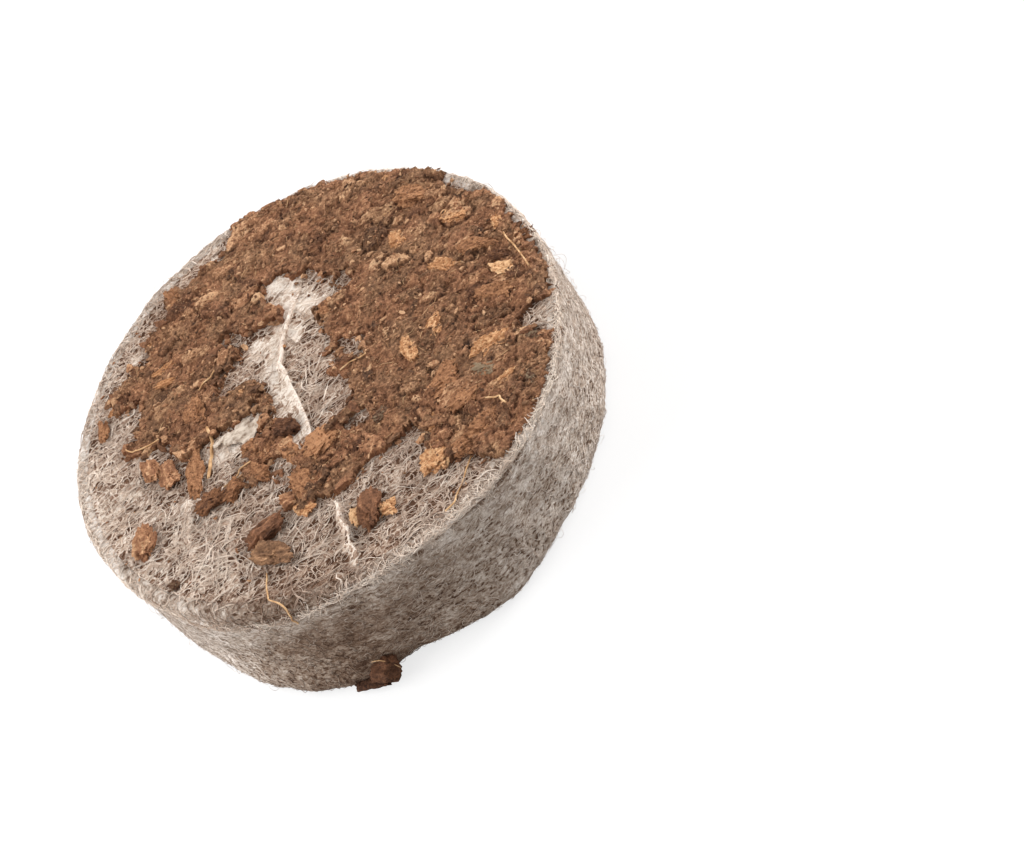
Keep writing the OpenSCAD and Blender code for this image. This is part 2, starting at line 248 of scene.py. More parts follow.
pressed_coir, coir_tree, coir_surface = start_material("pressed_coir", 0.95)
coir_clumps = add_noise(coir_tree, 1.1, 6)
coir_grain = add_noise(coir_tree, 6, 3)
coir_mix = add_sum(coir_tree, (coir_clumps, 0.6), (coir_grain, 0.4))
coir_colours = [(0.25, (52, 32, 21)), (0.5, (104, 64, 40)), (0.75, (146, 96, 62))]
colour_surface(coir_tree, coir_surface, coir_mix, coir_colours)
add_bump(coir_tree, coir_surface, coir_mix, 0.4, 0.8)
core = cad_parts["coir_core"]
core.data.materials.clear()
core.data.materials.append(pressed_coir)

# The top sheet of the fleece bag
# Thin non-woven fleece stretched over the core, with a crease at the front. Its fibres form a net
# with small open meshes, with brown coir behind them, and it is palest where it lies thick. Painted
# light makes it paler towards the left, and painted shade darkens it over the rim at the front left.
seam_proud = 0.12
wall_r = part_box("fleece_sleeve")[1][0] / MM - seam_proud
top_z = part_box("fleece_sleeve")[1][2] / MM
rim_top_r = 0.65
rim_base_r = 1.05
fleece_t = 0.3
top_run = wall_r - rim_top_r
wall_start = top_run + rim_top_r * math.pi / 2
wall_end = wall_start + top_z - rim_top_r - rim_base_r
base_start = wall_end + rim_base_r * math.pi / 2
base_end = base_start + wall_r - rim_base_r
pleat_ridge = [
    (4.1, 8.5), (2.2, 6.8), (0.1, 4.4), (-0.9, 3.0), (-1.1, 1.4), (-1.7, -1.5), (-2.5, -5.0), (-2.9, -5.8),
]
crease_ridge = [
    (-4.4, -12.2), (-4.4, -13.1), (-4.95, -14.2), (-4.85, -15.5), (-5.4, -16.6), (-5.5, -17.8), (-6, -18.6),
]
soft_ridge = [(-12.9, -1.9), (-13.8, -3.8), (-14.8, -5.9), (-15.6, -7.8)]
crease_h = 0.45
crease_flap_w = 0.7
crease_back_w = 0.35
pale_patches = [
    (-7.4, -0.1, 2.4, 1.3), (-5.8, 0.5, 1.2, 1.4), (2.9, 10.5, 1.8, 1.3), (3.6, 7.4, 2.6, 1.2),
    (-1.2, 6.2, 2.2, 1.2), (1.4, 5.2, 2.2, 1.2), (4.6, 6.3, 2.2, 0.7), (-13.8, -2.2, 2.2, 0.7),
    (-15.2, -4.6, 2, 0.6), (-9, -0.2, 1.8, 1), (-12.4, 15.2, 2.4, 0.5), (-9.6, 15.2, 1.4, 0.8),
    (0.8, 19.2, 2, 0.7), (-3.6, -4.6, 1.5, 0.8), (-17.2, 9.2, 1.6, 0.7), (16.4, -12, 2.2, 0.5),
]


def along_ridge(x, y, ridge):
    """Nearest point of a ridge line: distance to its left or right, and share of its length."""
    best = (1e9, 0, 0)
    steps = len(ridge) - 1
    for i in range(steps):
        (ax, ay), (bx, by) = ridge[i], ridge[i + 1]
        dx, dy = bx - ax, by - ay
        share = max(0.0, min(1.0, ((x - ax) * dx + (y - ay) * dy) / (dx * dx + dy * dy)))
        off_x, off_y = x - ax - share * dx, y - ay - share * dy
        far = math.hypot(off_x, off_y)
        if far < best[0]:
            best = (far, 1 if off_x * dy - off_y * dx > 0 else -1, (i + share) / steps)
    return best[0] * best[1], best[2]


def uneven(x, y, z):
    """Smooth noise, from about -1 to 1."""
    return noise.noise(Vector((x, y, z)))


def limit(value, low=0.0, high=1.0):
    """A value kept between two others."""
    return min(high, max(low, value))


def bell(off, spread):
    """1 in the middle, and less and less to each side."""
    return math.exp(-((off / spread) ** 2))


def turn_from(angle, middle):
    """Degrees from a direction round the pellet to an angle, between -180 and 180."""
    return (math.degrees(angle) - middle + 180) % 360 - 180


def crease_height(x, y):
    """Height of the crease at the front: steep on one side of its ridge, a longer slope on the other."""
    off, share = along_ridge(x, y, crease_ridge)
    width = crease_flap_w if off > 0 else crease_back_w
    return crease_h * max(0.0, 1 - abs(off) / width) * math.sin(math.pi * (0.1 + 0.8 * share))


def top_relief(x, y):
    """How far the top sheet stands above its plane, in millimetres."""
    swell = uneven(x * 0.22, y * 0.22, 3.1) * 0.22
    pucker = uneven(x * 0.8, y * 0.8, 8.7) * 0.14
    soft = 0.16 * bell(along_ridge(x, y, soft_ridge)[0], 0.4)
    return swell + pucker + soft + crease_height(x, y)


wall_bulges = [
    (-129, 17, 0.7, 2.2, 1.02), (-86, 14, 1.0, 2.4, 0.8), (-169, 12, 5, 5, -0.35),
    (158, 14, 9.5, 3.0, 0.3), (107, 9, 10, 2.5, 0.25), (50, 24, 10.5, 2.5, -0.2),
    (125, 40, 10.5, 2.5, 0.15), (-109, 6, 0.5, 1.5, -0.25),
]


def wall_relief(angle, height):
    """How far the wall stands out from a true cylinder, in millimetres."""
    place = Vector((math.cos(angle) * 4, math.sin(angle) * 4, height * 0.22))
    out = noise.noise(place) * 0.28 + noise.noise(place * 3.1) * 0.16 + noise.noise(place * 9) * 0.06
    for middle, spread, level, reach, amount in wall_bulges:
        out += amount * bell(turn_from(angle, middle), spread) * bell(height - level, reach)
    return max(out, -0.22)


seam_below = 0.3


def seam_drop(angle):
    """How much further down the seam lies at the front, where the top is drawn over the rim."""
    return 1.9 * bell(turn_from(angle, -138), 23) + 0.4 * bell(turn_from(angle, -75), 24)


def past_seam(run, angle):
    """How far below the seam a point of the bag lies, in millimetres."""
    return run - top_run - seam_below - seam_drop(angle)


def front_share(angle):
    """1 at the front, where the seam shows most, and 0 at the back."""
    return 0.5 + 0.5 * math.cos(angle + math.radians(62))


def uneven_round(angle, scale, seed):
    """Smooth noise that runs once round the pellet."""
    return uneven(math.cos(angle) * scale, math.sin(angle) * scale, seed)


def painted_rim_shade(angle, run):
    """How much painted shade darkens the web where it turns over the rim at the front left, on the shoulder
    turned away from the light.
    """
    return bell(turn_from(angle, -124), 21) * limit((run - wall_r + 2.4) / 1.2)


def rim_slit(angle):
    """Whether the seam has come away here, so that a slit shows under it: a deeper groove, darkened with
    painted shade.
    """
    return -118 < math.degrees(angle) < -66 and uneven_round(angle, 14, 3.3) > 0.08


def rim_roll(run, angle):
    """How far the rolled seam stands up round the top rim: strong at the front, faint at the back."""
    past = past_seam(run, angle)
    roll = (0.9 + uneven_round(angle, 19, 2.2)) * bell(past, 0.2)
    groove = (1.0 if rim_slit(angle) else 0.4) * bell(past - 0.45, 0.2)
    return (0.03 + 0.23 * front_share(angle)) * (1 - 0.25 * seam_drop(angle)) * (roll - groove)


rim_reaches = [(-56, 30, 0.72), (148, 13, 0.15), (104, 6, 0.12), (79, 9, 0.12)]


def reach_out(angle):
    """How much further than a true circle the top rim reaches, in millimetres."""
    out = 0
    for middle, spread, amount in rim_reaches:
        turn = (np.degrees(angle) - middle + 180) % 360 - 180
        out = out + amount * np.exp(-((turn / spread) ** 2))
    return out


def bag_point(run, angle, lift):
    """A point lift off the bag, run millimetres from the top's middle, out and down to its foot."""
    if run < top_run:
        radius, height, lean = run, top_z, 0.0
    elif run < wall_start:
        lean = (run - top_run) / rim_top_r
        radius, height = top_run + rim_top_r * math.sin(lean), top_z - rim_top_r * (1 - math.cos(lean))
    elif run < wall_end:
        lean, radius, height = math.pi / 2, wall_r, top_z - rim_top_r - (run - wall_start)
    elif run < base_start:
        lean = math.pi / 2 + (run - wall_end) / rim_base_r
        radius = wall_r - rim_base_r * (1 - math.sin(lean))
        height = rim_base_r + rim_base_r * math.cos(lean)
    else:
        lean, radius, height = math.pi, max(base_end - run, 0.0), 0.0
    on_top = 1 - limit((run - top_run + 2) / 2.5)
    on_wall = limit((run - top_run) / 1.5) * limit((base_start - run) / 1.2)
    if on_top > 0:
        lift += on_top * top_relief(radius * math.cos(angle), radius * math.sin(angle))
    if on_wall > 0:
        lift += on_wall * wall_relief(angle, height)
    if -1.4 < run - top_run < 4.2:
        lift += rim_roll(run, angle)
    out = radius + lift * math.sin(lean) + reach_out(angle) * radius / wall_r * (height / top_z) ** 2
    up = max(height + lift * math.cos(lean), 0.04)
    return Vector((out * math.cos(angle), out * math.sin(angle), up)) * MM


def pale_share(x, y):
    """How pale and thick the top fleece is: doubled at the pleat, felted in a few patches, with painted
    light towards the left and painted shade over the rim at the front left.
    """
    angle, far = math.atan2(y, x), math.hypot(x, y)
    # Painted light: paler towards the left, where the lamps on the left light the fleece most.
    pale = 0.12 + max(0.0, -0.5 - x / wall_r)
    off = along_ridge(x, y, pleat_ridge)[0]
    if -0.2 < off < 2.4:
        pale = 0.8 - 0.3 * max(0.0, off - 1.0)
    for patch_x, patch_y, radius, amount in pale_patches:
        pale = max(pale, amount * (1 - math.hypot(x - patch_x, y - patch_y) / radius))
    pale = max(pale, 0.7 * (1 - abs(along_ridge(x, y, crease_ridge)[0]) / 0.8))
    pale = max(pale, 0.75 * (1 - abs(along_ridge(x, y, soft_ridge)[0]) / 0.5))
    rim = (0.25 + 0.45 * front_share(angle)) * max(0.0, 1 - 1.1 * seam_drop(angle))
    pale = max(pale, rim * (1 - abs(far - wall_r + 0.4) / 0.8))
    # Painted shade over the rim at the front left.
    return limit(pale - 0.4 * painted_rim_shade(angle, far), -0.3)


def add_grid(name, columns, rows, size=1):
    """A flat grid of points, to be laid out as a sheet."""
    bpy.ops.mesh.primitive_grid_add(x_subdivisions=columns, y_subdivisions=rows, size=size)
    grid = bpy.context.object
    grid.name = name
    return grid


def drop_points(piece, unwanted):
    """Deletes the vertices that unwanted names, one flag for each."""
    bpy.context.view_layer.objects.active = piece
    bpy.ops.object.mode_set(mode="EDIT")
    bpy.ops.mesh.select_mode(type="VERT")
    bpy.ops.mesh.select_all(action="DESELECT")
    bpy.ops.object.mode_set(mode="OBJECT")
    piece.data.vertices.foreach_set("select", unwanted)
    bpy.ops.object.mode_set(mode="EDIT")
    bpy.ops.mesh.delete(type="VERT")
    bpy.ops.mesh.select_all(action="SELECT")
    bpy.ops.mesh.delete_loose()
    bpy.ops.object.mode_set(mode="OBJECT")


def add_amounts(piece, name, amounts):
    """Stores one number for each vertex, for the material to read."""
    column = piece.data.attributes.new(name, "FLOAT", "POINT")
    column.data.foreach_set("value", np.asarray(amounts, dtype=np.float32))


def apply_modifier(piece, kind, **settings):
    """Changes a piece by a modifier, applied at once."""
    bpy.context.view_layer.objects.active = piece
    change = piece.modifiers.new("change", kind)
    for key, value in settings.items():
        setattr(change, key, value)
    bpy.ops.object.modifier_apply(modifier=change.name)


def thicken(piece, thickness_mm):
    """Gives a sheet its thickness, inwards."""
    apply_modifier(piece, "SOLIDIFY", thickness=thickness_mm * MM, offset=-1)


def finish_piece(piece, material, slot, *nodes, flat=False):
    """Material, smooth or flat shading, and the frame's facts about a piece."""
    piece.data.materials.clear()
    piece.data.materials.append(material)
    if flat:
        piece.data.shade_flat()
    else:
        piece.data.shade_smooth()
    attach(piece, "root")
    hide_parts(*nodes)


sheet_cells = 200
sheet_edge = top_run - 0.1
top_sheet = add_grid("fleece_top_sheet", sheet_cells, sheet_cells, 2 * wall_r * MM)
drop_points(top_sheet, [v.co.length > (sheet_edge + 0.15) * MM for v in top_sheet.data.vertices])
pale_amounts = [pale_share(v.co.x / MM, v.co.y / MM) for v in top_sheet.data.vertices]
for vertex in top_sheet.data.vertices:
    x, y = vertex.co.x / MM, vertex.co.y / MM
    vertex.co = bag_point(min(math.hypot(x, y), sheet_edge), math.atan2(y, x), -0.05)
add_amounts(top_sheet, "pale", pale_amounts)
thicken(top_sheet, fleece_t)

fleece_top_felt, felt_tree, felt_surface = start_material("fleece_top_felt", 0.95)


def add_net(tree, per_mm, stretch):
    """A net of fibres fixed to the piece: its threads, and its open meshes, each from 0 to 1."""
    to_thread = add_cells(tree, per_mm, "DISTANCE_TO_EDGE", "Distance", 0.45, stretch)
    cell_colour = add_cells(tree, per_mm, "F1", "Color", 0.45, stretch)
    meshes = add_node(tree, "ShaderNodeSeparateColor", cell_colour)
    open_ones = add_range(tree, meshes.outputs["Red"], 0.35, 0.95)
    threads = add_range(tree, to_thread, 0.0, 0.17, 1.0, 0.0)
    return threads, add_math(tree, "MULTIPLY", add_range(tree, to_thread, 0.03, 0.15), open_ones)


# pale carries the fleece's own paleness, with painted light at the left and painted shade over the rim.
felt_pale = read_amount(felt_tree, "pale")
felt_threads, felt_holes = add_net(felt_tree, 2.0, (0.6, 1, 1))
fine_threads, fine_holes = add_net(felt_tree, 3.4, (0.6, 1, 1))
felt_fibres = add_noise(felt_tree, 8, 4, (0.5, 1, 1))
felt_patches = add_noise(felt_tree, 0.45, 3)
felt_thin = add_range(felt_tree, felt_pale, 0.35, 0.85, 1.0, 0.12)
all_holes = add_sum(felt_tree, (felt_holes, 0.56), (fine_holes, 0.32))
felt_mix = add_sum(
    felt_tree, (felt_fibres, 0.55), (felt_patches, 0.5), (felt_threads, 0.18), (fine_threads, 0.1),
    (add_math(felt_tree, "MULTIPLY", all_holes, felt_thin), -1.0), (felt_pale, 0.4),
)
felt_colours = [
    (0.22, (84, 57, 41)), (0.40, (120, 89, 69)), (0.58, (160, 132, 113)), (0.76, (204, 181, 162)),
    (1.0, (247, 234, 221)),
]
colour_surface(felt_tree, felt_surface, felt_mix, felt_colours)
add_bump(felt_tree, felt_surface, felt_mix, 0.3, 0.6)
finish_piece(top_sheet, fleece_top_felt, "fleece", "fleece_top")

# The web of fibres on the top sheet
# The fleece is a tangle of fine pale fibres, curled and laid every way and bonded where they cross.
# Only the cloth that the crust leaves bare has them.
crust_edge = [
    (22, 3.2), (21, 0), (20.1, -2.3), (19.7, -4.6), (19.7, -6.4), (20, -9.2), (18.8, -11.2),
    (17.6, -11.4), (16.5, -10.4), (14.7, -10.4), (14.5, -11.6), (16.4, -13.8), (14.9, -14.9),
    (14.5, -16.9), (12.9, -18.9), (11.2, -20), (9.2, -20.7), (7.2, -20.8), (5.5, -19.5), (5.2, -17.3),
    (3.4, -16.9), (2.1, -15.8), (3, -13.8), (3.6, -12.2), (0.5, -11.8), (-1.5, -12.3), (-4, -12),
    (-6.3, -11), (-7.6, -9.4), (-6.6, -8.3), (-7.5, -6.3), (-8.8, -5.6), (-9, -4.2), (-8.3, -3),
    (-7.5, -2.9), (-7.3, -1.6), (-5.3, -0.9), (-5, 1.1), (-6.6, 0.7), (-8, 1.5), (-9.8, 1.7),
    (-11.7, 2), (-12, 4.5), (-13.6, 5.1), (-15, 6.3), (-14.8, 7.6), (-12.5, 8.7), (-11.7, 9.9),
    (-13.8, 11), (-13.6, 12.9), (-11.5, 14.5), (-9, 14.3), (-8.2, 16.3), (-5.3, 17), (-4.8, 19),
    (-3.3, 19), (-2.8, 18.1), (1.8, 18.3), (3.3, 19.6), (4, 22), (20, 16), (20, 8), (18.6, 6.2),
    (19.4, 3.4),
]
crust_windows = [
    [
        (1.6, 10.4), (2, 11.6), (4.1, 10.7), (3.5, 9.4), (5.9, 9.3), (5.6, 7.8), (6.4, 7), (6.2, 5.2),
        (3.3, 5.6), (3.3, 2.3), (2.2, 0.6), (1.3, -2), (2.1, -3.4), (1.2, -5.6), (-2, -5.4),
        (-4.1, -5.4), (-3.9, -4.2), (-2.6, -3.5), (-4.2, -1.9), (-2.9, 0.2), (-3.1, 2.1),
        (-3, 3.9), (-6.2, 4.6), (-4.6, 6.5), (-1.7, 6.5), (-3.1, 9.6), (-0.8, 7.7), (1.3, 7),
        (2.5, 7.9), (1.8, 9),
    ],
    [(3.5, -0.4), (4.1, 0.5), (4.9, -0.9), (4.4, -2), (3.6, -1.6)],
    [(0.2, -6.6), (1.5, -7), (1.3, -8), (0.4, -7.7)],
    [(6.7, 6.1), (7.6, 6.8), (8.1, 6.4), (7.5, 5.5), (6.8, 5.5)],
    [(-6.6, -5), (-5.4, -4.9), (-5.2, -6.2), (-6, -7.2), (-6.4, -6.4)],
]
crust_r = wall_r - 0.35


def edge_distance(points, edge):
    """Distance of each plan point from an outline, positive inside it."""
    nearest = np.full(len(points), 1e9)
    inside = np.zeros(len(points), dtype=bool)
    for start, end in zip(edge, edge[1:] + edge[:1]):
        a, d = np.array(start, float), np.array(end, float) - np.array(start, float)
        share = np.clip(((points - a) @ d) / (d @ d), 0, 1)
        nearest = np.minimum(nearest, np.linalg.norm(points - a - share[:, None] * d, axis=1))
        crosses = (a[1] > points[:, 1]) != (a[1] + d[1] > points[:, 1])
        if d[1]:
            inside ^= crosses & (points[:, 0] < a[0] + d[0] * (points[:, 1] - a[1]) / d[1])
    return np.where(inside, nearest, -nearest)


def crust_depth(points):
    """How far inside the crust each plan point lies: positive under it, negative on bare fleece."""
    rim = wall_r + reach_out(np.arctan2(points[:, 1], points[:, 0]))
    depth = np.minimum(edge_distance(points, crust_edge), rim - np.linalg.norm(points, axis=1))
    for window in crust_windows:
        depth = np.minimum(depth, -edge_distance(points, window))
    return depth


strand_points = 7
ring_sides = 3
strands_per_piece = 4800


def add_mesh(name, points, faces):
    """A new piece from its points and faces."""
    mesh = bpy.data.meshes.new(name)
    mesh.from_pydata(points, [], faces)
    piece = bpy.data.objects.new(name, mesh)
    bpy.context.collection.objects.link(piece)
    return piece


def lay_strands(name, strands):
    """Fine fibres as one mesh, each with its path of strand_points points, its tint and its width."""
    paths, tints, widths = zip(*strands)
    lines = np.array(paths)
    ways = np.gradient(lines, axis=1)
    ways /= np.linalg.norm(ways, axis=2, keepdims=True)
    beside = np.cross(ways, (0.36, 0.48, 0.8))
    beside /= np.linalg.norm(beside, axis=2, keepdims=True)
    above = np.cross(beside, ways)
    taper = 0.5 + 0.5 * np.sin(np.linspace(0, math.pi, strand_points))
    radii = (np.array(widths)[:, None] * taper * MM / 2)[..., None]
    turns = [2 * math.pi * side / ring_sides for side in range(ring_sides)]
    rings = [lines + radii * (math.cos(turn) * beside + math.sin(turn) * above) for turn in turns]
    skin = [
        (ring * ring_sides + (side + 1) % ring_sides, ring * ring_sides + side,
         (ring + 1) * ring_sides + side, (ring + 1) * ring_sides + (side + 1) % ring_sides)
        for ring in range(strand_points - 1) for side in range(ring_sides)
    ]
    last = (strand_points - 1) * ring_sides
    ends = [tuple(range(ring_sides)), tuple(last + side for side in reversed(range(ring_sides)))]
    firsts = (np.arange(len(lines)) * strand_points * ring_sides)[:, None, None]
    skins = (firsts + np.array(skin)).reshape(-1, 4).tolist()
    caps = (firsts + np.array(ends)).reshape(-1, ring_sides).tolist()
    piece = add_mesh(name, np.stack(rings, axis=2).reshape(-1, 3), skins + caps)
    add_amounts(piece, "tint", np.repeat(tints, strand_points * ring_sides))
    return piece


def lay_web(name, strands, material, node):
    """A web of fibres, divided into pieces of at most strands_per_piece fibres."""
    pieces = []
    for first in range(0, len(strands), strands_per_piece):
        piece = lay_strands(f"{name}_{len(pieces) + 1}", strands[first:first + strands_per_piece])
        finish_piece(piece, material, "fleece", node)
        pieces.append(piece)
    return pieces


def wander(chance, x, y, heading, length, bend):
    """Plan points of one fibre: a walk that curls one way or the other."""
    step = length / (strand_points - 1)
    curl = chance.gauss(0, bend)
    walk = []
    for _ in range(strand_points):
        walk.append((x, y))
        curl = 0.6 * curl + chance.gauss(0, 0.7 * bend)
        heading += curl
        x += step * math.cos(heading)
        y += step * math.sin(heading)
    return walk


def scatter(chance, low, high, apart):
    """Points strewn over a rectangle of the plan, about apart from each other along and across."""
    points = []
    for column in range(int((high[0] - low[0]) / apart[0])):
        for row in range(int((high[1] - low[1]) / apart[1])):
            across = low[0] + apart[0] * (column + 0.5 * (row % 2) + chance.uniform(-0.45, 0.45))
            points.append((across, low[1] + apart[1] * (row + chance.uniform(-0.45, 0.45))))
    return [point for point in points if chance.random() < 0.85]


def net_threads(chance, points):
    """Walks of the threads of a net: each divides the open meshes round two neighbouring points."""
    corners, _, triangles, *_ = delaunay_2d_cdt([Vector(point) for point in points], [], [], 0, 1e-6)
    middles = [(corners[a] + corners[b] + corners[c]) / 3 for a, b, c in triangles]
    beside = {}
    walks = []
    for number, triangle in enumerate(triangles):
        for side in range(3):
            edge = frozenset((triangle[side], triangle[side - 1]))
            if edge in beside:
                start, way = middles[beside[edge]], middles[number] - middles[beside[edge]]
                bow = chance.gauss(0, 0.2) * Vector((-way.y, way.x))
                shares = [-0.15 + 1.3 * i / (strand_points - 1) for i in range(strand_points)]
                walks.append([tuple(start + s * way + math.sin(math.pi * s) * bow) for s in shares])
            beside[edge] = number
    return walks


def ripple(chance, low, high):
    """Heights of one fibre along its length: it weaves under and over its neighbours."""
    level, wave, phase = chance.uniform(low, high), chance.uniform(0.02, 0.06), chance.uniform(0, 6.3)
    return [level + wave * math.sin(phase + 1.1 * i) for i in range(strand_points)]


pleat_profile = [
    (0.10, -0.30), (-0.02, -0.10), (-0.10, 0.10), (-0.16, 0.28), (-0.10, 0.42), (0.04, 0.44),
    (0.18, 0.33), (0.34, 0.20), (0.52, 0.12), (0.72, 0.05), (0.92, -0.04), (1.1, -0.25),
]
pleat_offs = [off for off, rise in pleat_profile[3:]]
pleat_rises = [max(rise, 0) for off, rise in pleat_profile[3:]]


def fold_taper(share):
    """How full a fold is along its length: it runs out at both ends."""
    return min(1.0, 4.5 * share + 0.25, 4.5 * (1 - share) + 0.25)


def pleat_rise(x, y):
    """How far the pleat lifts the fibres that lie across it, in millimetres."""
    off, share = along_ridge(x, y, pleat_ridge)
    if abs(off) >= 1.2:
        return 0
    taper = fold_taper(share) * (1 - 0.4 * limit(5 * (share - 0.45)))
    return taper * float(np.interp(off, pleat_offs, pleat_rises, left=0, right=0))


def web_over(angle):
    """How far the open web of the top runs on down over the rim: most at the left."""
    return 0.7 + max(2.2 * limit((-math.cos(angle) - 0.5) / 0.3), seam_drop(angle))


def on_bare_cloth(points, depth):
    """Whether each plan point lies on cloth that the crust leaves bare, and not below the web's end."""
    outer = np.array([max(wall_r, top_run + web_over(math.atan2(y, x)) - 0.2) for x, y in points])
    return (crust_depth(points) < depth) & (np.linalg.norm(points, axis=1) < outer)


def cloth_path(walk, levels, chance, apart):
    """A fibre's plan points laid on the top of the bag, a little apart from others on the same walk."""
    aside_x, aside_y = chance.gauss(0, apart), chance.gauss(0, apart)
    path = []
    for (px, py), level in zip(walk, levels):
        px += aside_x + chance.gauss(0, apart / 2)
        py += aside_y + chance.gauss(0, apart / 2)
        angle = math.atan2(py, px)
        run = min(math.hypot(px, py), top_run + web_over(angle))
        path.append(bag_point(run, angle, level + pleat_rise(px, py)))
    return path


top_chance = random.Random(5)
top_strands_wanted = 4500
start_tries = 64000
bundle_tries = 75
fibre_stars = [(-18.2, 1.1, 12), (-15.6, -6.2, 5), (-4.2, -13.6, 14), (-12.6, -9.4, 4), (4.6, -15.6, 8)]
top_strands = []
starts = np.array([
    (top_chance.uniform(-wall_r - 2, wall_r), top_chance.uniform(-wall_r, wall_r))
    for _ in range(start_tries)
])
for x, y in starts[on_bare_cloth(starts, 0.3)]:
    if len(top_strands) >= top_strands_wanted:
        break
    pale = pale_share(x, y)
    thick = 0.5 + uneven(x * 0.5, y * 0.9, 5.5)
    felted = limit((pale - 0.4) / 0.4)
    if top_chance.random() > (thick + 0.1) * (1 - 0.75 * felted):
        continue
    drawn = top_chance.random() < 0.62
    heading = top_chance.gauss(0.1, 0.5) if drawn else top_chance.uniform(0, math.pi)
    bend = top_chance.uniform(0.06, 0.4) if drawn else top_chance.uniform(0.2, 0.8)
    walk = wander(top_chance, x, y, heading, top_chance.uniform(0.8, 2.6), bend)
    loose = 0.08 if -1.5 < x < 5 and -6 < y < 5 else 0.0
    levels = ripple(top_chance, -0.08, 0.09 - 0.05 * pale + loose)
    # The tint follows pale_share, with its painted light and shade.
    tint = 0.17 + 2.8 * max(levels) + 0.3 * pale + 0.25 * thick + top_chance.uniform(-0.35, 0.35)
    # Painted shade on fibres over the rim at the front left.
    tint -= 0.32 * painted_rim_shade(math.atan2(y, x), math.hypot(x, y))
    width = top_chance.choice((0.03, 0.036, 0.042, 0.048, 0.06)) * (1 - 0.25 * felted)
    for _ in range(top_chance.choice((1, 1, 2, 3))):
        path = cloth_path(walk, levels, top_chance, 0.04)
        top_strands.append((path, tint + top_chance.uniform(-0.1, 0.1), width))
net_points = scatter(top_chance, (-wall_r - 2, -wall_r), (wall_r, wall_r), apart=(0.95, 0.46))
net_walks = net_threads(top_chance, net_points)
net_middles = np.array([walk[strand_points // 2] for walk in net_walks])
for number in np.flatnonzero(on_bare_cloth(net_middles, 0.2)):
    x, y = net_middles[number]
    pale = pale_share(x, y)
    if top_chance.random() < 0.15 + 0.6 * limit((pale - 0.4) / 0.4):
        continue
    thick = 0.5 + 0.9 * uneven(x * 0.6, y * 0.9, 5.5)
    level = 0.05 * uneven(x * 1.3, y * 1.3, 8.2)
    path = cloth_path(net_walks[number], [level] * strand_points, top_chance, 0.02)
    # The tint carries painted shade over the rim at the front left.
    tint = 0.41 + 0.35 * pale + 0.2 * thick - 0.32 * painted_rim_shade(math.atan2(y, x), math.hypot(x, y))
    tint += top_chance.uniform(-0.22, 0.22)
    top_strands.append((path, tint, top_chance.uniform(0.045, 0.085) * (0.7 + 0.6 * thick)))
for x, y, rays in fibre_stars:
    for _ in range(rays):
        heading = top_chance.uniform(0, 2 * math.pi)
        walk = wander(top_chance, x, y, heading, top_chance.uniform(1.5, 3.6), 0.08)
        path = cloth_path(walk, [0.1 - 0.015 * i for i in range(strand_points)], top_chance, 0.06)
        top_strands.append((path, top_chance.uniform(0.5, 0.9), top_chance.uniform(0.04, 0.06)))
bundles = np.array([
    (top_chance.uniform(-18, -4), top_chance.uniform(-17, -3)) for _ in range(bundle_tries)
])
for x, y in bundles[(crust_depth(bundles) < 0) & (np.linalg.norm(bundles, axis=1) < wall_r - 2)]:
    walk = wander(top_chance, x, y, top_chance.gauss(0.8, 0.4), top_chance.uniform(1.6, 3.2), 0.32)
    levels = ripple(top_chance, 0.0, 0.08)
    for _ in range(top_chance.choice((3, 4, 5))):
        path = cloth_path(walk, levels, top_chance, 0.05)
        top_strands.append((path, top_chance.uniform(0.6, 0.95), top_chance.uniform(0.032, 0.05)))

fleece_fibre, fibre_tree, fibre_surface = start_material("fleece_fibre", 0.7)
fibre_colours = [
    (0.0, (122, 93, 74)), (0.3, (172, 146, 128)), (0.6, (216, 194, 176)), (1.0, (247, 232, 217)),
]
colour_surface(fibre_tree, fibre_surface, read_amount(fibre_tree, "tint"), fibre_colours)
top_web = lay_web("fleece_top_web", top_strands, fleece_fibre, "fleece_top")

# The folds in the top sheet
# The cloth is pinched up across the middle and falls over to one side, a pale ridge with a gap under
# its lip. A smaller fold runs to the front rim, and a film of bonded fibres has lifted by the crust.
pleat_t = 0.1


def face_out(piece):
    """Turns the faces of a piece outwards."""
    bpy.context.view_layer.objects.active = piece
    bpy.ops.object.mode_set(mode="EDIT")
    bpy.ops.mesh.select_all(action="SELECT")
    bpy.ops.mesh.normals_make_consistent(inside=False)
    bpy.ops.object.mode_set(mode="OBJECT")


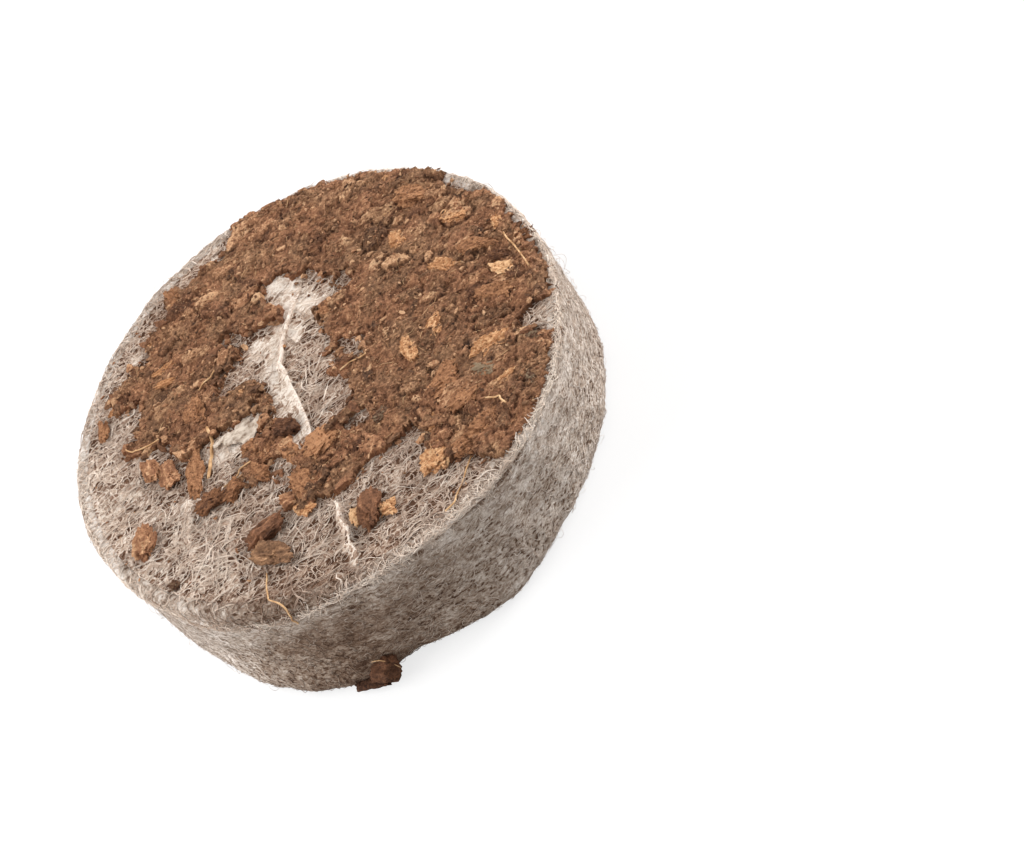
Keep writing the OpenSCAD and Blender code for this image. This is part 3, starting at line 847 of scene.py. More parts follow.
def lay_fold(name, ridge, cells, size, narrow_until, felted):
    """A pinched fold of cloth along a ridge line, narrow up to a share of its length, and its felting."""
    rows = len(pleat_profile) - 1
    fold = add_grid(name, cells, rows)
    line = [Vector((x, y, 0)) for x, y in ridge]
    for vertex in fold.data.vertices:
        share = vertex.co.x + 0.5
        reach = share * (len(line) - 1)
        first = min(int(reach), len(line) - 2)
        before, after = line[max(first - 1, 0)], line[min(first + 2, len(line) - 1)]
        on_line = line[first].lerp(line[first + 1], reach - first)
        way = (line[first + 1] - before).lerp(after - line[first], reach - first).normalized()
        row = round((0.5 + vertex.co.y) * rows)
        off, rise = pleat_profile[row]
        taper = fold_taper(share)
        flat = limit(5 * (share - narrow_until))
        wide = (0.5 + 0.75 * flat) * (0.55 + 0.45 * taper) + 0.2 * uneven(share * 5, 1.3, row * 0.1)
        aside = off * (wide if off > 0 else 1) + 0.12 * uneven(share * 9, 4.2, 0)
        place = on_line + Vector((way.y, -way.x, 0)) * size * aside
        rise = rise * taper * (1 - 0.4 * flat) + 0.05 * uneven(share * 40, row * 0.9, 7.7)
        height = top_z + top_relief(place.x, place.y) * 0.8 + size * rise
        vertex.co = Vector((place.x, place.y, height)) * MM
    face_out(fold)
    if sum(face.normal.z for face in fold.data.polygons) < 0:
        fold.data.flip_normals()
    pales = []
    for vertex in fold.data.vertices:
        x, y, z = vertex.co / MM
        rise = (z - top_z - 0.8 * top_relief(x, y)) / size
        pales.append(felted + 0.42 * limit(rise / 0.4))
    add_amounts(fold, "pale", pales)
    apply_modifier(fold, "SUBSURF", levels=1, render_levels=1)
    return fold


pleat = lay_fold("fleece_pleat", pleat_ridge, cells=70, size=1.0, narrow_until=0.45, felted=0.56)
crease = lay_fold("fleece_crease", crease_ridge, cells=50, size=0.65, narrow_until=0.35, felted=0.36)
film_outline = [
    (-6.9, 0.6), (-6.4, 1), (-5.3, 0.95), (-5.4, 0.2), (-4.6, 0.4), (-5.1, -1), (-6.3, -1.5), (-7, -1.5),
    (-7.3, -0.7), (-8.2, -0.3), (-8.3, 0.2), (-9.1, 0.4), (-9, 0.9), (-8.3, 1), (-7.6, 0.8),
]
film = add_grid("fleece_film", 80, 52)
film.location = (-7.2 * MM, -0.3 * MM, 0)
film.scale = (5.8 * MM, 3.8 * MM, 1)
bpy.ops.object.transform_apply(location=True, scale=True)
film_plan = np.array([v.co[:2] for v in film.data.vertices]) / MM
film_ragged = [0.35 * uneven(x * 1.9, y * 1.9, 2.7) for x, y in film_plan]
drop_points(film, (edge_distance(film_plan, film_outline) + film_ragged < 0).tolist())
for vertex in film.data.vertices:
    x, y = vertex.co.x / MM, vertex.co.y / MM
    crumple = 0.28 * uneven(x * 0.8, y * 0.8, 4.4) + 0.04 * uneven(x * 3, y * 3, 1)
    vertex.co.z = (top_z + top_relief(x, y) + 0.22 + crumple) * MM
fleece_film, film_tree, film_surface = start_material("fleece_film", 0.85)
film_mix = add_noise(film_tree, 2.6, 6, (0.7, 1, 1))
film_colours = [(0.32, (134, 112, 94)), (0.46, (188, 170, 153)), (0.62, (222, 207, 191))]
colour_surface(film_tree, film_surface, film_mix, film_colours)
add_bump(film_tree, film_surface, film_mix, 0.3, 0.6)
for fold, cloth in ((pleat, fleece_top_felt), (crease, fleece_top_felt), (film, fleece_film)):
    thicken(fold, pleat_t)
    finish_piece(fold, cloth, "fleece", "fleece_top")

# The wall of the fleece bag
# A band of the same fleece round the core, folded in over both rims, pressed into a felt with its
# fibres drawn round the pellet. A rolled seam runs round the top rim, and stray ends stand off it.
wall_turns = 440
wall_rows = 64
wall_from = sheet_edge - 0.4
wall_to = base_start + 0.8
wall_sheet = add_grid("fleece_wall_sheet", wall_turns, wall_rows)
for vertex in wall_sheet.data.vertices:
    run = wall_from + (0.5 - vertex.co.y) * (wall_to - wall_from)
    vertex.co = bag_point(run, 2 * math.pi * (vertex.co.x + 0.5), -0.04)


def join_points(piece, nearer_than_mm):
    """Makes one point of points that lie nearer to each other than a distance."""
    bpy.context.view_layer.objects.active = piece
    bpy.ops.object.mode_set(mode="EDIT")
    bpy.ops.mesh.select_all(action="SELECT")
    bpy.ops.mesh.remove_doubles(threshold=nearer_than_mm * MM)
    bpy.ops.object.mode_set(mode="OBJECT")


join_points(wall_sheet, 0.01)
face_out(wall_sheet)


def wall_painted_shade(angle, past):
    """How much painted shade darkens the wall: most at the front, on the side away from the light, from
    below the seam downwards, and least at the left and the right.
    """
    turn = turn_from(angle, -122)
    front_shade = bell(turn, 29 if turn > 0 else 22) * limit((past - 0.2) / 3.4)
    # Painted light lightens the left front a little, and the lit term darkens the right front a little.
    lit = bell(math.degrees(angle) + 20, 34)
    return front_shade + 0.16 * lit - 0.22 * bell(turn + 27, 13) - 0.1


wall_pales, wall_thins = [], []
for vertex in wall_sheet.data.vertices:
    angle = math.atan2(vertex.co.y, vertex.co.x)
    front = front_share(angle)
    under_rim = top_z - vertex.co.z / MM
    lean = math.acos(limit(1 - under_rim / rim_top_r))
    past = past_seam(top_run + rim_top_r * lean + max(0.0, under_rim - rim_top_r), angle)
    # Painted shade on the wall sheet, most at the front below the seam.
    wall_shade = wall_painted_shade(angle, past)
    seam = max(0.0, 1 - abs(past) / 0.32) * max(0.1, 1.1 - 0.5 * seam_drop(angle))
    pale = (0.1 + 0.7 * front) * seam - 0.72 * wall_shade
    # Painted shade in the slit under the seam.
    if rim_slit(angle) and 0.3 < past < 0.65:
        pale -= 0.6 * front
    open_share = 0.42 + 0.5 * limit((under_rim - 1) / 5)
    # Painted shade where the top's web runs down over the rim: darker at the front, most at the front left.
    if past < -0.2:
        pale -= 0.2 * front + 0.35 * painted_rim_shade(angle, wall_r)
        open_share = 0.8
    wall_pales.append(pale)
    open_share *= 1 - 0.5 * max(0.0, wall_shade)
    wall_thins.append(open_share + 0.6 * noise.noise(vertex.co * 0.35 / MM))
# pale carries the seam's paleness and the painted shade worked out above.
add_amounts(wall_sheet, "pale", wall_pales)
add_amounts(wall_sheet, "thin", wall_thins)
thicken(wall_sheet, fleece_t)

fleece_wall_felt, wall_tree, wall_surface = start_material("fleece_wall_felt", 0.95)
wall_fibres = add_noise(wall_tree, 7, 5, (0.55, 0.55, 1))
wall_tufts = add_noise(wall_tree, 1.3, 5, (0.6, 0.6, 1))
wall_patches = add_noise(wall_tree, 0.35, 3)
wall_pores = add_range(wall_tree, add_noise(wall_tree, 4.2, 3, (0.55, 0.55, 1)), 0.5, 0.68)
wall_gaps = add_math(wall_tree, "MULTIPLY", wall_pores, read_amount(wall_tree, "thin"))
wall_mix = add_sum(
    wall_tree, (wall_fibres, 0.7), (wall_tufts, 0.6), (wall_patches, 0.25), (wall_gaps, -0.36),
    (read_amount(wall_tree, "pale"), 0.34),
)
wall_colours = [
    (0.38, (74, 52, 38)), (0.54, (118, 95, 78)), (0.70, (162, 144, 129)), (0.84, (202, 188, 176)),
    (1.0, (240, 231, 223)),
]
colour_surface(wall_tree, wall_surface, wall_mix, wall_colours)
add_bump(wall_tree, wall_surface, wall_mix, 0.25, 0.6)
finish_piece(wall_sheet, fleece_wall_felt, "fleece", "fleece_sleeve")

fleece_wall_fibre, hair_tree, hair_surface = start_material("fleece_wall_fibre", 0.75)
hair_colours = [
    (0.0, (108, 85, 69)), (0.3, (160, 140, 126)), (0.6, (208, 192, 179)), (1.0, (242, 232, 224)),
]
colour_surface(hair_tree, hair_surface, read_amount(hair_tree, "tint"), hair_colours)
wall_chance = random.Random(17)
wall_strand_tries = 5200
hair_tries = 340
long_hairs = 20
rim_strand_count = 1500
wall_strands = []


def add_wall_strand(walk, levels, tint, width):
    """One more fibre on the wall, from its walk round and down the bag, unless the top's web is there."""
    far, down = walk[strand_points // 2]
    angle = math.atan2(math.sin(far / wall_r), math.cos(far / wall_r))
    if down < top_run + web_over(angle) - 0.7:
        return
    past = past_seam(down, angle)
    # Painted shade on the wall fibres, as on the wall sheet.
    tint -= 0.47 * wall_painted_shade(angle, past)
    # Painted shade in the slit under the seam.
    if rim_slit(angle) and abs(past - 0.5) < 0.14:
        tint -= 0.5 * front_share(angle)
    path = [bag_point(run, step / wall_r, level) for (step, run), level in zip(walk, levels)]
    wall_strands.append((path, tint, width))


wall_round = 2 * math.pi * wall_r
net_low, net_high = (-1, wall_start - 1), (wall_round, base_start + 0.6)
net_points = scatter(wall_chance, net_low, net_high, apart=(1.2, 0.44))
for walk in net_threads(wall_chance, net_points):
    if wall_chance.random() < 0.5:
        far, down = walk[strand_points // 2]
        level = 0.01 + 0.05 * uneven(far, down * 1.5, 4.1)
        tint = 0.56 + 3 * level + wall_chance.uniform(-0.22, 0.22)
        add_wall_strand(walk, [level] * strand_points, tint, wall_chance.uniform(0.035, 0.065))
for _ in range(wall_strand_tries):
    far = wall_chance.uniform(0, wall_round)
    run = wall_chance.uniform(wall_start - 1.2, base_start + 0.3)
    heading = wall_chance.choice((0, math.pi)) + wall_chance.gauss(0, 0.9)
    walk = wander(wall_chance, far, run, heading, wall_chance.uniform(0.3, 0.9), 0.3)
    levels = ripple(wall_chance, -0.08, 0.05)
    tint = 0.44 + 2.4 * max(levels) + wall_chance.uniform(-0.26, 0.26)
    add_wall_strand(walk, levels, tint, wall_chance.uniform(0.03, 0.05))
for number in range(hair_tries):
    far = wall_chance.uniform(0, wall_round)
    run = wall_chance.uniform(wall_start - 0.8, base_start)
    heading = wall_chance.uniform(0, 6.3)
    length = wall_chance.uniform(0.8, 1.8)
    off = wall_chance.uniform(0.2, 0.45)
    if number < long_hairs:
        far = wall_r * math.radians(wall_chance.uniform(-38, -14))
        run = wall_start + wall_chance.uniform(-0.8, 0.2)
        length, off = length * 1.5, off * 2
    walk = wander(wall_chance, far, run, heading, length, 0.4)
    levels = [off * math.sin(math.pi * i / strand_points) for i in range(strand_points)]
    add_wall_strand(walk, levels, wall_chance.uniform(0.4, 0.8), 0.032)
wall_web = lay_web("fleece_wall_web", wall_strands, fleece_wall_fibre, "fleece_sleeve")
rim_strands = []
for _ in range(rim_strand_count):
    angle = math.radians(wall_chance.gauss(-70, 62))
    run = top_run + seam_below + wall_chance.gauss(0, 0.12)
    heading = wall_chance.choice((0, math.pi)) + wall_chance.gauss(0, 0.4)
    walk = wander(wall_chance, 0, run, heading, wall_chance.uniform(0.5, 1.3), 0.3)
    path = []
    for (step, down), level in zip(walk, ripple(wall_chance, -0.03, 0.12)):
        at = angle + step / wall_r
        path.append(bag_point(down + seam_drop(at), at, level))
    clumped = uneven_round(angle, 22, 6.1) - 0.5 * max(0.0, seam_drop(angle) - 0.8)
    tint = 0.94 + 0.6 * clumped + wall_chance.uniform(-0.25, 0.25)
    rim_strands.append((path, tint, wall_chance.uniform(0.035, 0.07)))
rim_seam = lay_strands("fleece_rim_seam", rim_strands)
finish_piece(rim_seam, fleece_fibre, "fleece", "fleece_sleeve")

# The foot of the fleece bag
# The sheet that the pellet stands on, pressed flat, with the same web of fibres.
foot_cells = 120
foot_strand_count = 2400
foot_edge = wall_r - rim_base_r
foot_sheet = add_grid("fleece_foot_sheet", foot_cells, foot_cells, 2 * wall_r * MM)
drop_points(foot_sheet, [v.co.length > foot_edge * MM for v in foot_sheet.data.vertices])
for vertex in foot_sheet.data.vertices:
    vertex.co.z = 0.1 * MM
foot_sheet.data.flip_normals()
add_amounts(foot_sheet, "pale", [0.1] * len(foot_sheet.data.vertices))
thicken(foot_sheet, fleece_t)
finish_piece(foot_sheet, fleece_top_felt, "fleece", "fleece_bottom")

foot_chance = random.Random(29)
foot_strands = []
for _ in range(foot_strand_count):
    radius, angle = foot_edge * math.sqrt(foot_chance.random()), foot_chance.uniform(0, 2 * math.pi)
    x, y = radius * math.cos(angle), radius * math.sin(angle)
    heading = foot_chance.uniform(0, 2 * math.pi)
    walk = wander(foot_chance, x, y, heading, foot_chance.uniform(2, 5), 0.2)
    sunk = -foot_chance.uniform(0.0, 0.06)
    path = [bag_point(base_end - math.hypot(px, py), math.atan2(py, px), sunk) for px, py in walk]
    tint = 0.45 + foot_chance.uniform(-0.25, 0.35)
    foot_strands.append((path, tint, foot_chance.uniform(0.04, 0.07)))
foot_web = lay_strands("fleece_foot_web", foot_strands)
finish_piece(foot_web, fleece_fibre, "fleece", "fleece_bottom")

# The crust of coir
# Coir pith, crumbs and flat flakes of husk caked together on the top sheet. The flakes lie flush in
# the pith, most of them one way, cracks run round them, and the edge is ragged. The cracks and the
# dips of the crust are darkened with painted shade.
crust_cells = 340
crust_axis = np.linspace(-wall_r, wall_r, crust_cells + 1)
plan_x, plan_y = np.meshgrid(crust_axis, crust_axis)
plan_points = np.column_stack([plan_x.ravel(), plan_y.ravel()])


def noise_map(per_mm, seed, along_x=1.0):
    """Smooth noise over the crust's grid, about per_mm bumps to the millimetre."""
    values = [uneven(x * per_mm * along_x, y * per_mm, seed) for x, y in plan_points]
    return np.array(values).reshape(plan_x.shape)


ragged = 0.7 * noise_map(0.75, 1.5) + 0.45 * noise_map(2.2, 7.5)
crust_inset = crust_depth(plan_points).reshape(plan_x.shape)
covered = crust_inset + ragged > 0.4
pith = 0.10 * noise_map(0.9, 2.5, 0.8) + 0.11 * noise_map(2.2, 4.5, 0.85)
fine = 0.6 * noise_map(3.6, 9.5) + 0.5 * noise_map(5.5, 3.5)
grit = np.random.default_rng(43).uniform(-1, 1, plan_x.shape)
crust_rise = 0.36 + 0.2 * noise_map(0.3, 6.5) + pith + 0.1 * fine
crust_tint = 0.46 + 0.6 * pith + 0.1 * fine + 0.07 * np.clip((plan_y - 11) / 5, 0, 1)
crust_hue = 0.5 + 0.8 * noise_map(0.45, 12.5)
crust_painted_shade = np.zeros_like(plan_x)
flake_sizes = [(80, 1.6, 3.2, 0.55), (260, 0.8, 1.7, 0.65), (420, 0.4, 0.9, 0.75)]
crust_chance = random.Random(41)


def press_flake(x, y, length, width, turn, rise, tint):
    """Sets one flat flake into the crust: its outline, its height with a tilt, its colour, and the crack
    round it, sunk a little and darkened with painted shade.
    """
    reach = length * 0.75 + 0.3
    spot = (
        slice(*np.searchsorted(crust_axis, (y - reach, y + reach))),
        slice(*np.searchsorted(crust_axis, (x - reach, x + reach))),
    )
    dx, dy = plan_x[spot] - x, plan_y[spot] - y
    if dx.size == 0:
        return
    along = (dx * math.cos(turn) + dy * math.sin(turn)) / (length / 2)
    over = (-dx * math.sin(turn) + dy * math.cos(turn)) / (width / 2)
    around = np.arctan2(over, along)
    edge = 1 + 0.25 * ragged[spot]
    for waves, depth in ((2, 0.13), (3, 0.10), (7, 0.07)):
        edge += depth * np.sin(waves * around + crust_chance.uniform(0, 2 * math.pi))
    gone = (np.abs(along) ** 2.6 + np.abs(over) ** 2.6) ** (1 / 2.6) - edge
    soft = crust_chance.choice((0.12, 0.3, 0.6, 0.8))
    own = np.clip(-gone / soft, 0, 1)
    # The crack round the flake: sunk a little, and darkened with painted shade.
    crack = 0.12 / soft * ((gone >= 0) & (gone * width / 2 < 0.16))
    slope = crust_chance.uniform(-0.07, 0.07) * along + crust_chance.uniform(-0.07, 0.07) * over
    level = 0.38 + rise + slope + 0.08 * fine[spot] + 0.3 * pith[spot]
    crust_rise[spot] += own * (level - crust_rise[spot]) - 0.07 * crack
    crust_tint[spot] += own * (tint + 0.07 * fine[spot] - crust_tint[spot])
    crust_hue[spot] += own * (crust_chance.random() - crust_hue[spot])
    crust_painted_shade[spot] += -own * crust_painted_shade[spot] + 0.4 * crack
    covered[spot] |= (gone < 0) & (crust_inset[spot] > 0.05)


for count, shortest, longest, slimness in flake_sizes:
    for _ in range(count):
        radius = crust_r * math.sqrt(crust_chance.random())
        angle = crust_chance.uniform(0, 2 * math.pi)
        x, y = radius * math.cos(angle), radius * math.sin(angle)
        length = crust_chance.uniform(shortest, longest)
        width = length * slimness * crust_chance.uniform(0.7, 1.1)
        turn = crust_chance.gauss(-0.1, 0.6)
        rise = crust_chance.uniform(-0.06, 0.16) * min(length, 1.6)
        tint = limit(crust_chance.gauss(0.48, 0.23), 0.08, 0.95)
        if crust_depth(np.array([(x, y)]))[0] > 0.1:
            press_flake(x, y, length, width, turn, rise, tint)
soft_flakes = [
    (17.2, 2.6, 2.4, 1.4, -0.8, 0.12, 0.8), (19.2, -1.4, 1.7, 1.4, 0.4, 0.15, 0.62),
    (14.5, -4.2, 2.1, 1.2, -0.3, 0.1, 0.74), (11.2, -2.6, 2.2, 1.1, -0.4, 0.08, 0.76),
    (16.6, -0.4, 2.6, 1.7, 0.9, 0.1, 0.6), (14, 4.4, 2.4, 1.5, -0.6, 0.1, 0.66),
    (11.2, 3.3, 2.2, 1.4, -0.2, 0.1, 0.7), (13, 8.8, 2.8, 1.6, -0.3, 0.1, 0.62),
    (11, 14.2, 2.6, 1.5, 0.2, 0.1, 0.56), (-9.6, 8, 3.6, 1.4, 0.1, 0.1, 0.62),
    (-5.6, 10.4, 2.6, 1.6, -0.2, 0.12, 0.6), (-1.5, 13.4, 2.8, 1.5, 0.2, 0.08, 0.55),
    (18.7, 8.3, 2, 1.4, 2.1, 0.5, 0.4), (7, -12.2, 3.2, 1.8, 0.3, 0.1, 0.66),
    (10.4, -14.6, 2.6, 1.5, -0.4, 0.1, 0.6), (5.4, 17.2, 3, 1.6, 0.1, 0.1, 0.64),
    (0.6, 16.4, 2.4, 1.4, -0.2, 0.1, 0.62),
]
for flake in soft_flakes:
    press_flake(*flake)


def blurred(values, cells):
    """A map with each value averaged over its neighbours."""
    for axis in (0, 1):
        values = sum(np.roll(values, k, axis) for k in range(-cells, cells + 1)) / (2 * cells + 1)
    return values


crust_rise += 0.035 * grit
crust_tint += 0.07 * np.roll(grit, 7, axis=0)
# Painted shade in the dips: darker where the crust lies below the average of its neighbours.
crust_painted_shade += np.clip((blurred(crust_rise, 4) - crust_rise) / 0.16, 0, 1) * 0.5
crust_painted_shade = np.clip(crust_painted_shade, 0, 1)
crust_out = blurred(covered.astype(float), 1)
relief = np.array([top_relief(x, y) for x, y in plan_points]).reshape(plan_x.shape)
from_middle = np.hypot(plan_x, plan_y)
rim_reach = reach_out(np.arctan2(plan_y, plan_x))
slump = np.clip(from_middle - wall_r - rim_reach + 1.8, 0, None) ** 2 * 0.14
crust_top = top_z + 0.7 * relief - slump + np.where(covered, np.maximum(crust_rise, 0.1), -0.35)
bare_top = top_z + relief


def crust_cell(place):
    """Number of the row or column of the crust's grid at a place in millimetres."""
    return np.rint(np.clip((place + wall_r) / (2 * wall_r), 0, 1) * crust_cells).astype(int)


crust = add_grid("coir_crust_cake", crust_cells, crust_cells, 2 * wall_r * MM)
spots = np.array([v.co[:] for v in crust.data.vertices])
cells = (crust_cell(spots[:, 1] / MM), crust_cell(spots[:, 0] / MM))
spots[:, 2] = crust_top[cells] * MM
crust.data.vertices.foreach_set("co", spots.ravel())
add_amounts(crust, "clump", crust_tint[cells])
add_amounts(crust, "painted_dip_shade", crust_painted_shade[cells])
add_amounts(crust, "hue", crust_hue[cells])
kept = (crust_out > 0) & (from_middle < crust_r + rim_reach + 0.1 + 0.6 * ragged)
drop_points(crust, (~kept[cells]).tolist())
bpy.ops.object.mode_set(mode="EDIT")
bpy.ops.mesh.select_all(action="SELECT")
bpy.ops.mesh.region_to_loop()
bpy.ops.mesh.extrude_region_move()
bpy.ops.object.mode_set(mode="OBJECT")
crust_base = (top_z - 0.4) * MM
for vertex in crust.data.vertices:
    if vertex.select:
        vertex.co.z = crust_base
bpy.ops.object.mode_set(mode="EDIT")
bpy.ops.mesh.fill(use_beauty=False)
bpy.ops.object.mode_set(mode="OBJECT")
face_out(crust)


def surface_z(x, y):
    """Height of what lies at a plan point: the crust, or the bare fleece."""
    cell = crust_cell(y), crust_cell(x)
    return max(crust_top[cell], bare_top[cell])


coir_crumb, crumb_tree, crumb_surface = start_material("coir_crumb", 0.92)
crumb_dust = add_noise(crumb_tree, 7, 6, (0.75, 1, 1))
crumb_bits = add_node(
    crumb_tree, "ShaderNodeSeparateColor", add_cells(crumb_tree, 4.2, "F1", "Color", 0.5)
)
crumb_mix = add_sum(
    crumb_tree, (read_amount(crumb_tree, "clump"), 0.74), (crumb_dust, 0.56),
    (crumb_bits.outputs["Red"], 0.16), (add_noise(crumb_tree, 0.4, 4), 0.1),
    # Painted shade in the cracks and dips of the crust.
    (read_amount(crumb_tree, "painted_dip_shade"), -0.24),
)
crumb_colours = [
    (0.34, (56, 35, 25)), (0.56, (108, 72, 51)), (0.74, (146, 101, 73)), (0.90, (184, 134, 98)),
    (1.0, (218, 172, 132)),
]
earthy_colours = [
    (0.34, (50, 34, 25)), (0.56, (100, 71, 52)), (0.74, (138, 102, 75)), (0.90, (184, 140, 104)),
    (1.0, (222, 180, 140)),
]
crumb_blend = add_node(crumb_tree, "ShaderNodeMix", data_type="RGBA")
crumb_hue = add_range(crumb_tree, read_amount(crumb_tree, "hue"), 0.1, 0.9)
feed(crumb_tree, crumb_blend.inputs["Factor"], crumb_hue)
feed(crumb_tree, crumb_blend.inputs[6], add_ramp(crumb_tree, crumb_mix, crumb_colours))
feed(crumb_tree, crumb_blend.inputs[7], add_ramp(crumb_tree, crumb_mix, earthy_colours))
feed(crumb_tree, crumb_surface.inputs["Base Color"], crumb_blend.outputs[2])
add_bump(crumb_tree, crumb_surface, crumb_dust, 0.2, 1.0)
finish_piece(crust, coir_crumb, "coir_crumb", "coir_crust", flat=True)

# Loose grains of coir
# Dust and grains of pith too small to name, lying on the crust and caught here and there in the fleece.
grain_chance = random.Random(53)
crust_grain_tries = 15000
stray_grain_tries = 360


def template_ball(subdivisions):
    """Directions and faces of a round template, which each grain or chip is shaped from."""
    bpy.ops.mesh.primitive_ico_sphere_add(subdivisions=subdivisions, radius=1)
    ball = bpy.context.object
    ways = np.array([v.co[:] for v in ball.data.vertices])
    faces = np.array([f.vertices[:] for f in ball.data.polygons])
    bpy.data.objects.remove(ball)
    return ways / np.linalg.norm(ways, axis=1)[:, None], faces


def turned(points, turn, tilt_x, tilt_y):
    """Points tilted a little and then turned about the vertical."""
    spin = Matrix.Rotation(turn, 3, "Z") @ Matrix.Rotation(tilt_y, 3, "Y")
    return points @ np.array(spin @ Matrix.Rotation(tilt_x, 3, "X")).T


def join_shapes(name, shapes, faces, tints):
    """One mesh from many shapes that share a template, each with its own tint."""
    size = len(shapes[0])
    all_faces = (faces[None] + (np.arange(len(shapes)) * size)[:, None, None]).reshape(-1, 3)
    piece = add_mesh(name, np.concatenate(shapes) * MM, all_faces.tolist())
    add_amounts(piece, "clump", np.concatenate([np.broadcast_to(tint, size) for tint in tints]))
    add_amounts(piece, "painted_dip_shade", np.zeros(len(shapes) * size))
    add_amounts(piece, "hue", np.repeat([abs(np.mean(tint)) * 7.1 % 1 for tint in tints], size))
    return piece


def strewn(tries, reach, shallow=-math.inf, deep=math.inf):
    """Plan points strewn no further out than reach, where they lie shallow to deep in the crust."""
    spots = np.array([
        (grain_chance.uniform(-wall_r, wall_r), grain_chance.uniform(-wall_r, wall_r)) for _ in range(tries)
    ])
    depths = crust_depth(spots)
    reach = reach + 1.1 * reach_out(np.arctan2(spots[:, 1], spots[:, 0]))
    return spots[(depths > shallow) & (depths < deep) & (np.linalg.norm(spots, axis=1) < reach)]


grain_ways, grain_faces = template_ball(1)
grains, grain_tints = [], []
crust_spots = strewn(crust_grain_tries, wall_r - 0.4, shallow=0.4)
stray_spots = strewn(stray_grain_tries, wall_r - 0.6, deep=0.1)
for x, y in (*crust_spots, *stray_spots):
    size = 0.05 + 0.11 * grain_chance.random() ** 3
    long = grain_chance.choice((0.9, 1.2, 1.6, 2.4))
    stretch = np.array([long, grain_chance.uniform(0.7, 1.1), 0.8]) * size
    lumpy = np.array([[grain_chance.uniform(0.65, 1.2)] for _ in grain_ways])
    turn = grain_chance.gauss(-0.1, 0.8)
    shape = turned(grain_ways * lumpy * stretch, turn, grain_chance.gauss(0, 0.3), 0)
    grains.append(shape + np.array([x, y, surface_z(x, y) + 0.25 * size]))
    grain_tints.append(limit(grain_chance.gauss(0.45, 0.17), 0.1, 1.0))
crumbs = join_shapes("coir_grains", grains, grain_faces, grain_tints)
finish_piece(crumbs, coir_crumb, "coir_crumb", "coir_crust", flat=True)

# Crumbs along the edges of the crust, and shreds of fibre on it
# Where the crust breaks off it ends in loose crumbs. Short torn fibres of the husk lie in it, most of
# them one way.
edge_crumb_tries = 3200
shred_tries = 1500
crumb_ways, crumb_faces = template_ball(2)
edge_crumbs, edge_tints = [], []
for x, y in strewn(edge_crumb_tries, crust_r - 0.4, shallow=-0.15, deep=0.6):
    size = 0.1 + 0.28 * grain_chance.random() ** 2
    lumpy = np.array([[grain_chance.uniform(0.5, 1.25)] for _ in crumb_ways])
    shape = crumb_ways * lumpy * np.array([grain_chance.uniform(0.9, 2.0), 1, 0.55]) * size
    shape = turned(shape, grain_chance.uniform(0, 6.3), grain_chance.gauss(0, 0.3), 0)
    edge_crumbs.append(shape + np.array([x, y, surface_z(x, y) + 0.2 * size]))
    edge_tints.append(limit(grain_chance.gauss(0.46, 0.16), 0.1, 0.85))
crumb_edge = join_shapes("coir_edge_crumbs", edge_crumbs, crumb_faces, edge_tints)
finish_piece(crumb_edge, coir_crumb, "coir_crumb", "coir_crust", flat=True)

shred_strands = []
for x, y in strewn(shred_tries, wall_r - 0.6, shallow=0.5):
    heading = grain_chance.gauss(0, 0.7)
    walk = wander(grain_chance, x, y, heading, 0.3 + 1.3 * grain_chance.random() ** 2, 0.22)
    path = [Vector((px, py, surface_z(px, py) + 0.03)) * MM for px, py in walk]
    tint = grain_chance.uniform(0, 0.8) + 0.2 * grain_chance.random()
    shred_strands.append((path, tint, grain_chance.uniform(0.03, 0.07)))
coir_shred, shred_tree, shred_surface = start_material("coir_shred", 0.8)
shred_colours = [(0.0, (92, 60, 40)), (0.55, (160, 114, 78)), (1.0, (224, 184, 138))]
colour_surface(shred_tree, shred_surface, read_amount(shred_tree, "tint"), shred_colours)
shreds = lay_strands("coir_shreds", shred_strands)
finish_piece(shreds, coir_shred, "coir_crumb", "coir_crust")

# Lumps of coir on bare fleece
# Crumbs that have come away from the crust, caught in the fibres of the fleece.
lump_chance = random.Random(61)
chip_ways, chip_faces = template_ball(4)
fleece_lumps = [
    (-17.5, -2.8, 2.9, 1.7, 50, 0.58), (-13.9, 3.3, 2.4, 1.3, 83, 0.575),
    (-13.1, 1.6, 2.4, 1.5, 84, 0.585), (-9.6, -10.3, 3.3, 1.7, -3, 0.29),
    (-10.5, -12.4, 3.8, 1.8, -50, 0.435), (-2.8, -15.4, 3.2, 1.9, 70, 0.29),
    (-3.8, -3, 2.1, 1.2, -28, 0.16), (-7, -9.2, 1.5, 1.3, -10, 0.58),
]


def shape_lump(chance, length, width, thick, sharp, rough):
    """A crumb of its own: a rounded block with flats broken off it and a rough skin."""
    flats = np.array([[chance.gauss(0, 1) for _ in range(3)] for _ in range(11)])
    flats /= np.linalg.norm(flats, axis=1)[:, None]
    offs = np.array([chance.uniform(0.62, 0.95) for _ in flats])
    facing = np.maximum(chip_ways @ flats.T, 0.05)
    reach = np.minimum(np.min(offs / facing, axis=1), 1.12)
    seed = chance.uniform(0, 90)
    skin = []
    for x, y, z in chip_ways:
        ridges = 0.2 * uneven(1.6 * x, 7 * y, seed)
        broad = 0.26 * uneven(2.1 * x + seed, 2.1 * y, 2.1 * z)
        middling = 0.24 * uneven(4.7 * x, 4.7 * y + seed, 4.7 * z)
        small = 0.24 * uneven(9 * x, 9 * y, 9 * z + seed)
        tiny = 0.16 * uneven(17 * x + seed, 17 * y + seed, 17 * z)
        skin.append(broad + middling + small + tiny + ridges)
    skin = np.array(skin)
    blocky = np.sign(chip_ways) * np.abs(chip_ways) ** sharp
    return blocky * (reach + rough * skin)[:, None] * np.array([length / 2, width / 2, thick / 2])


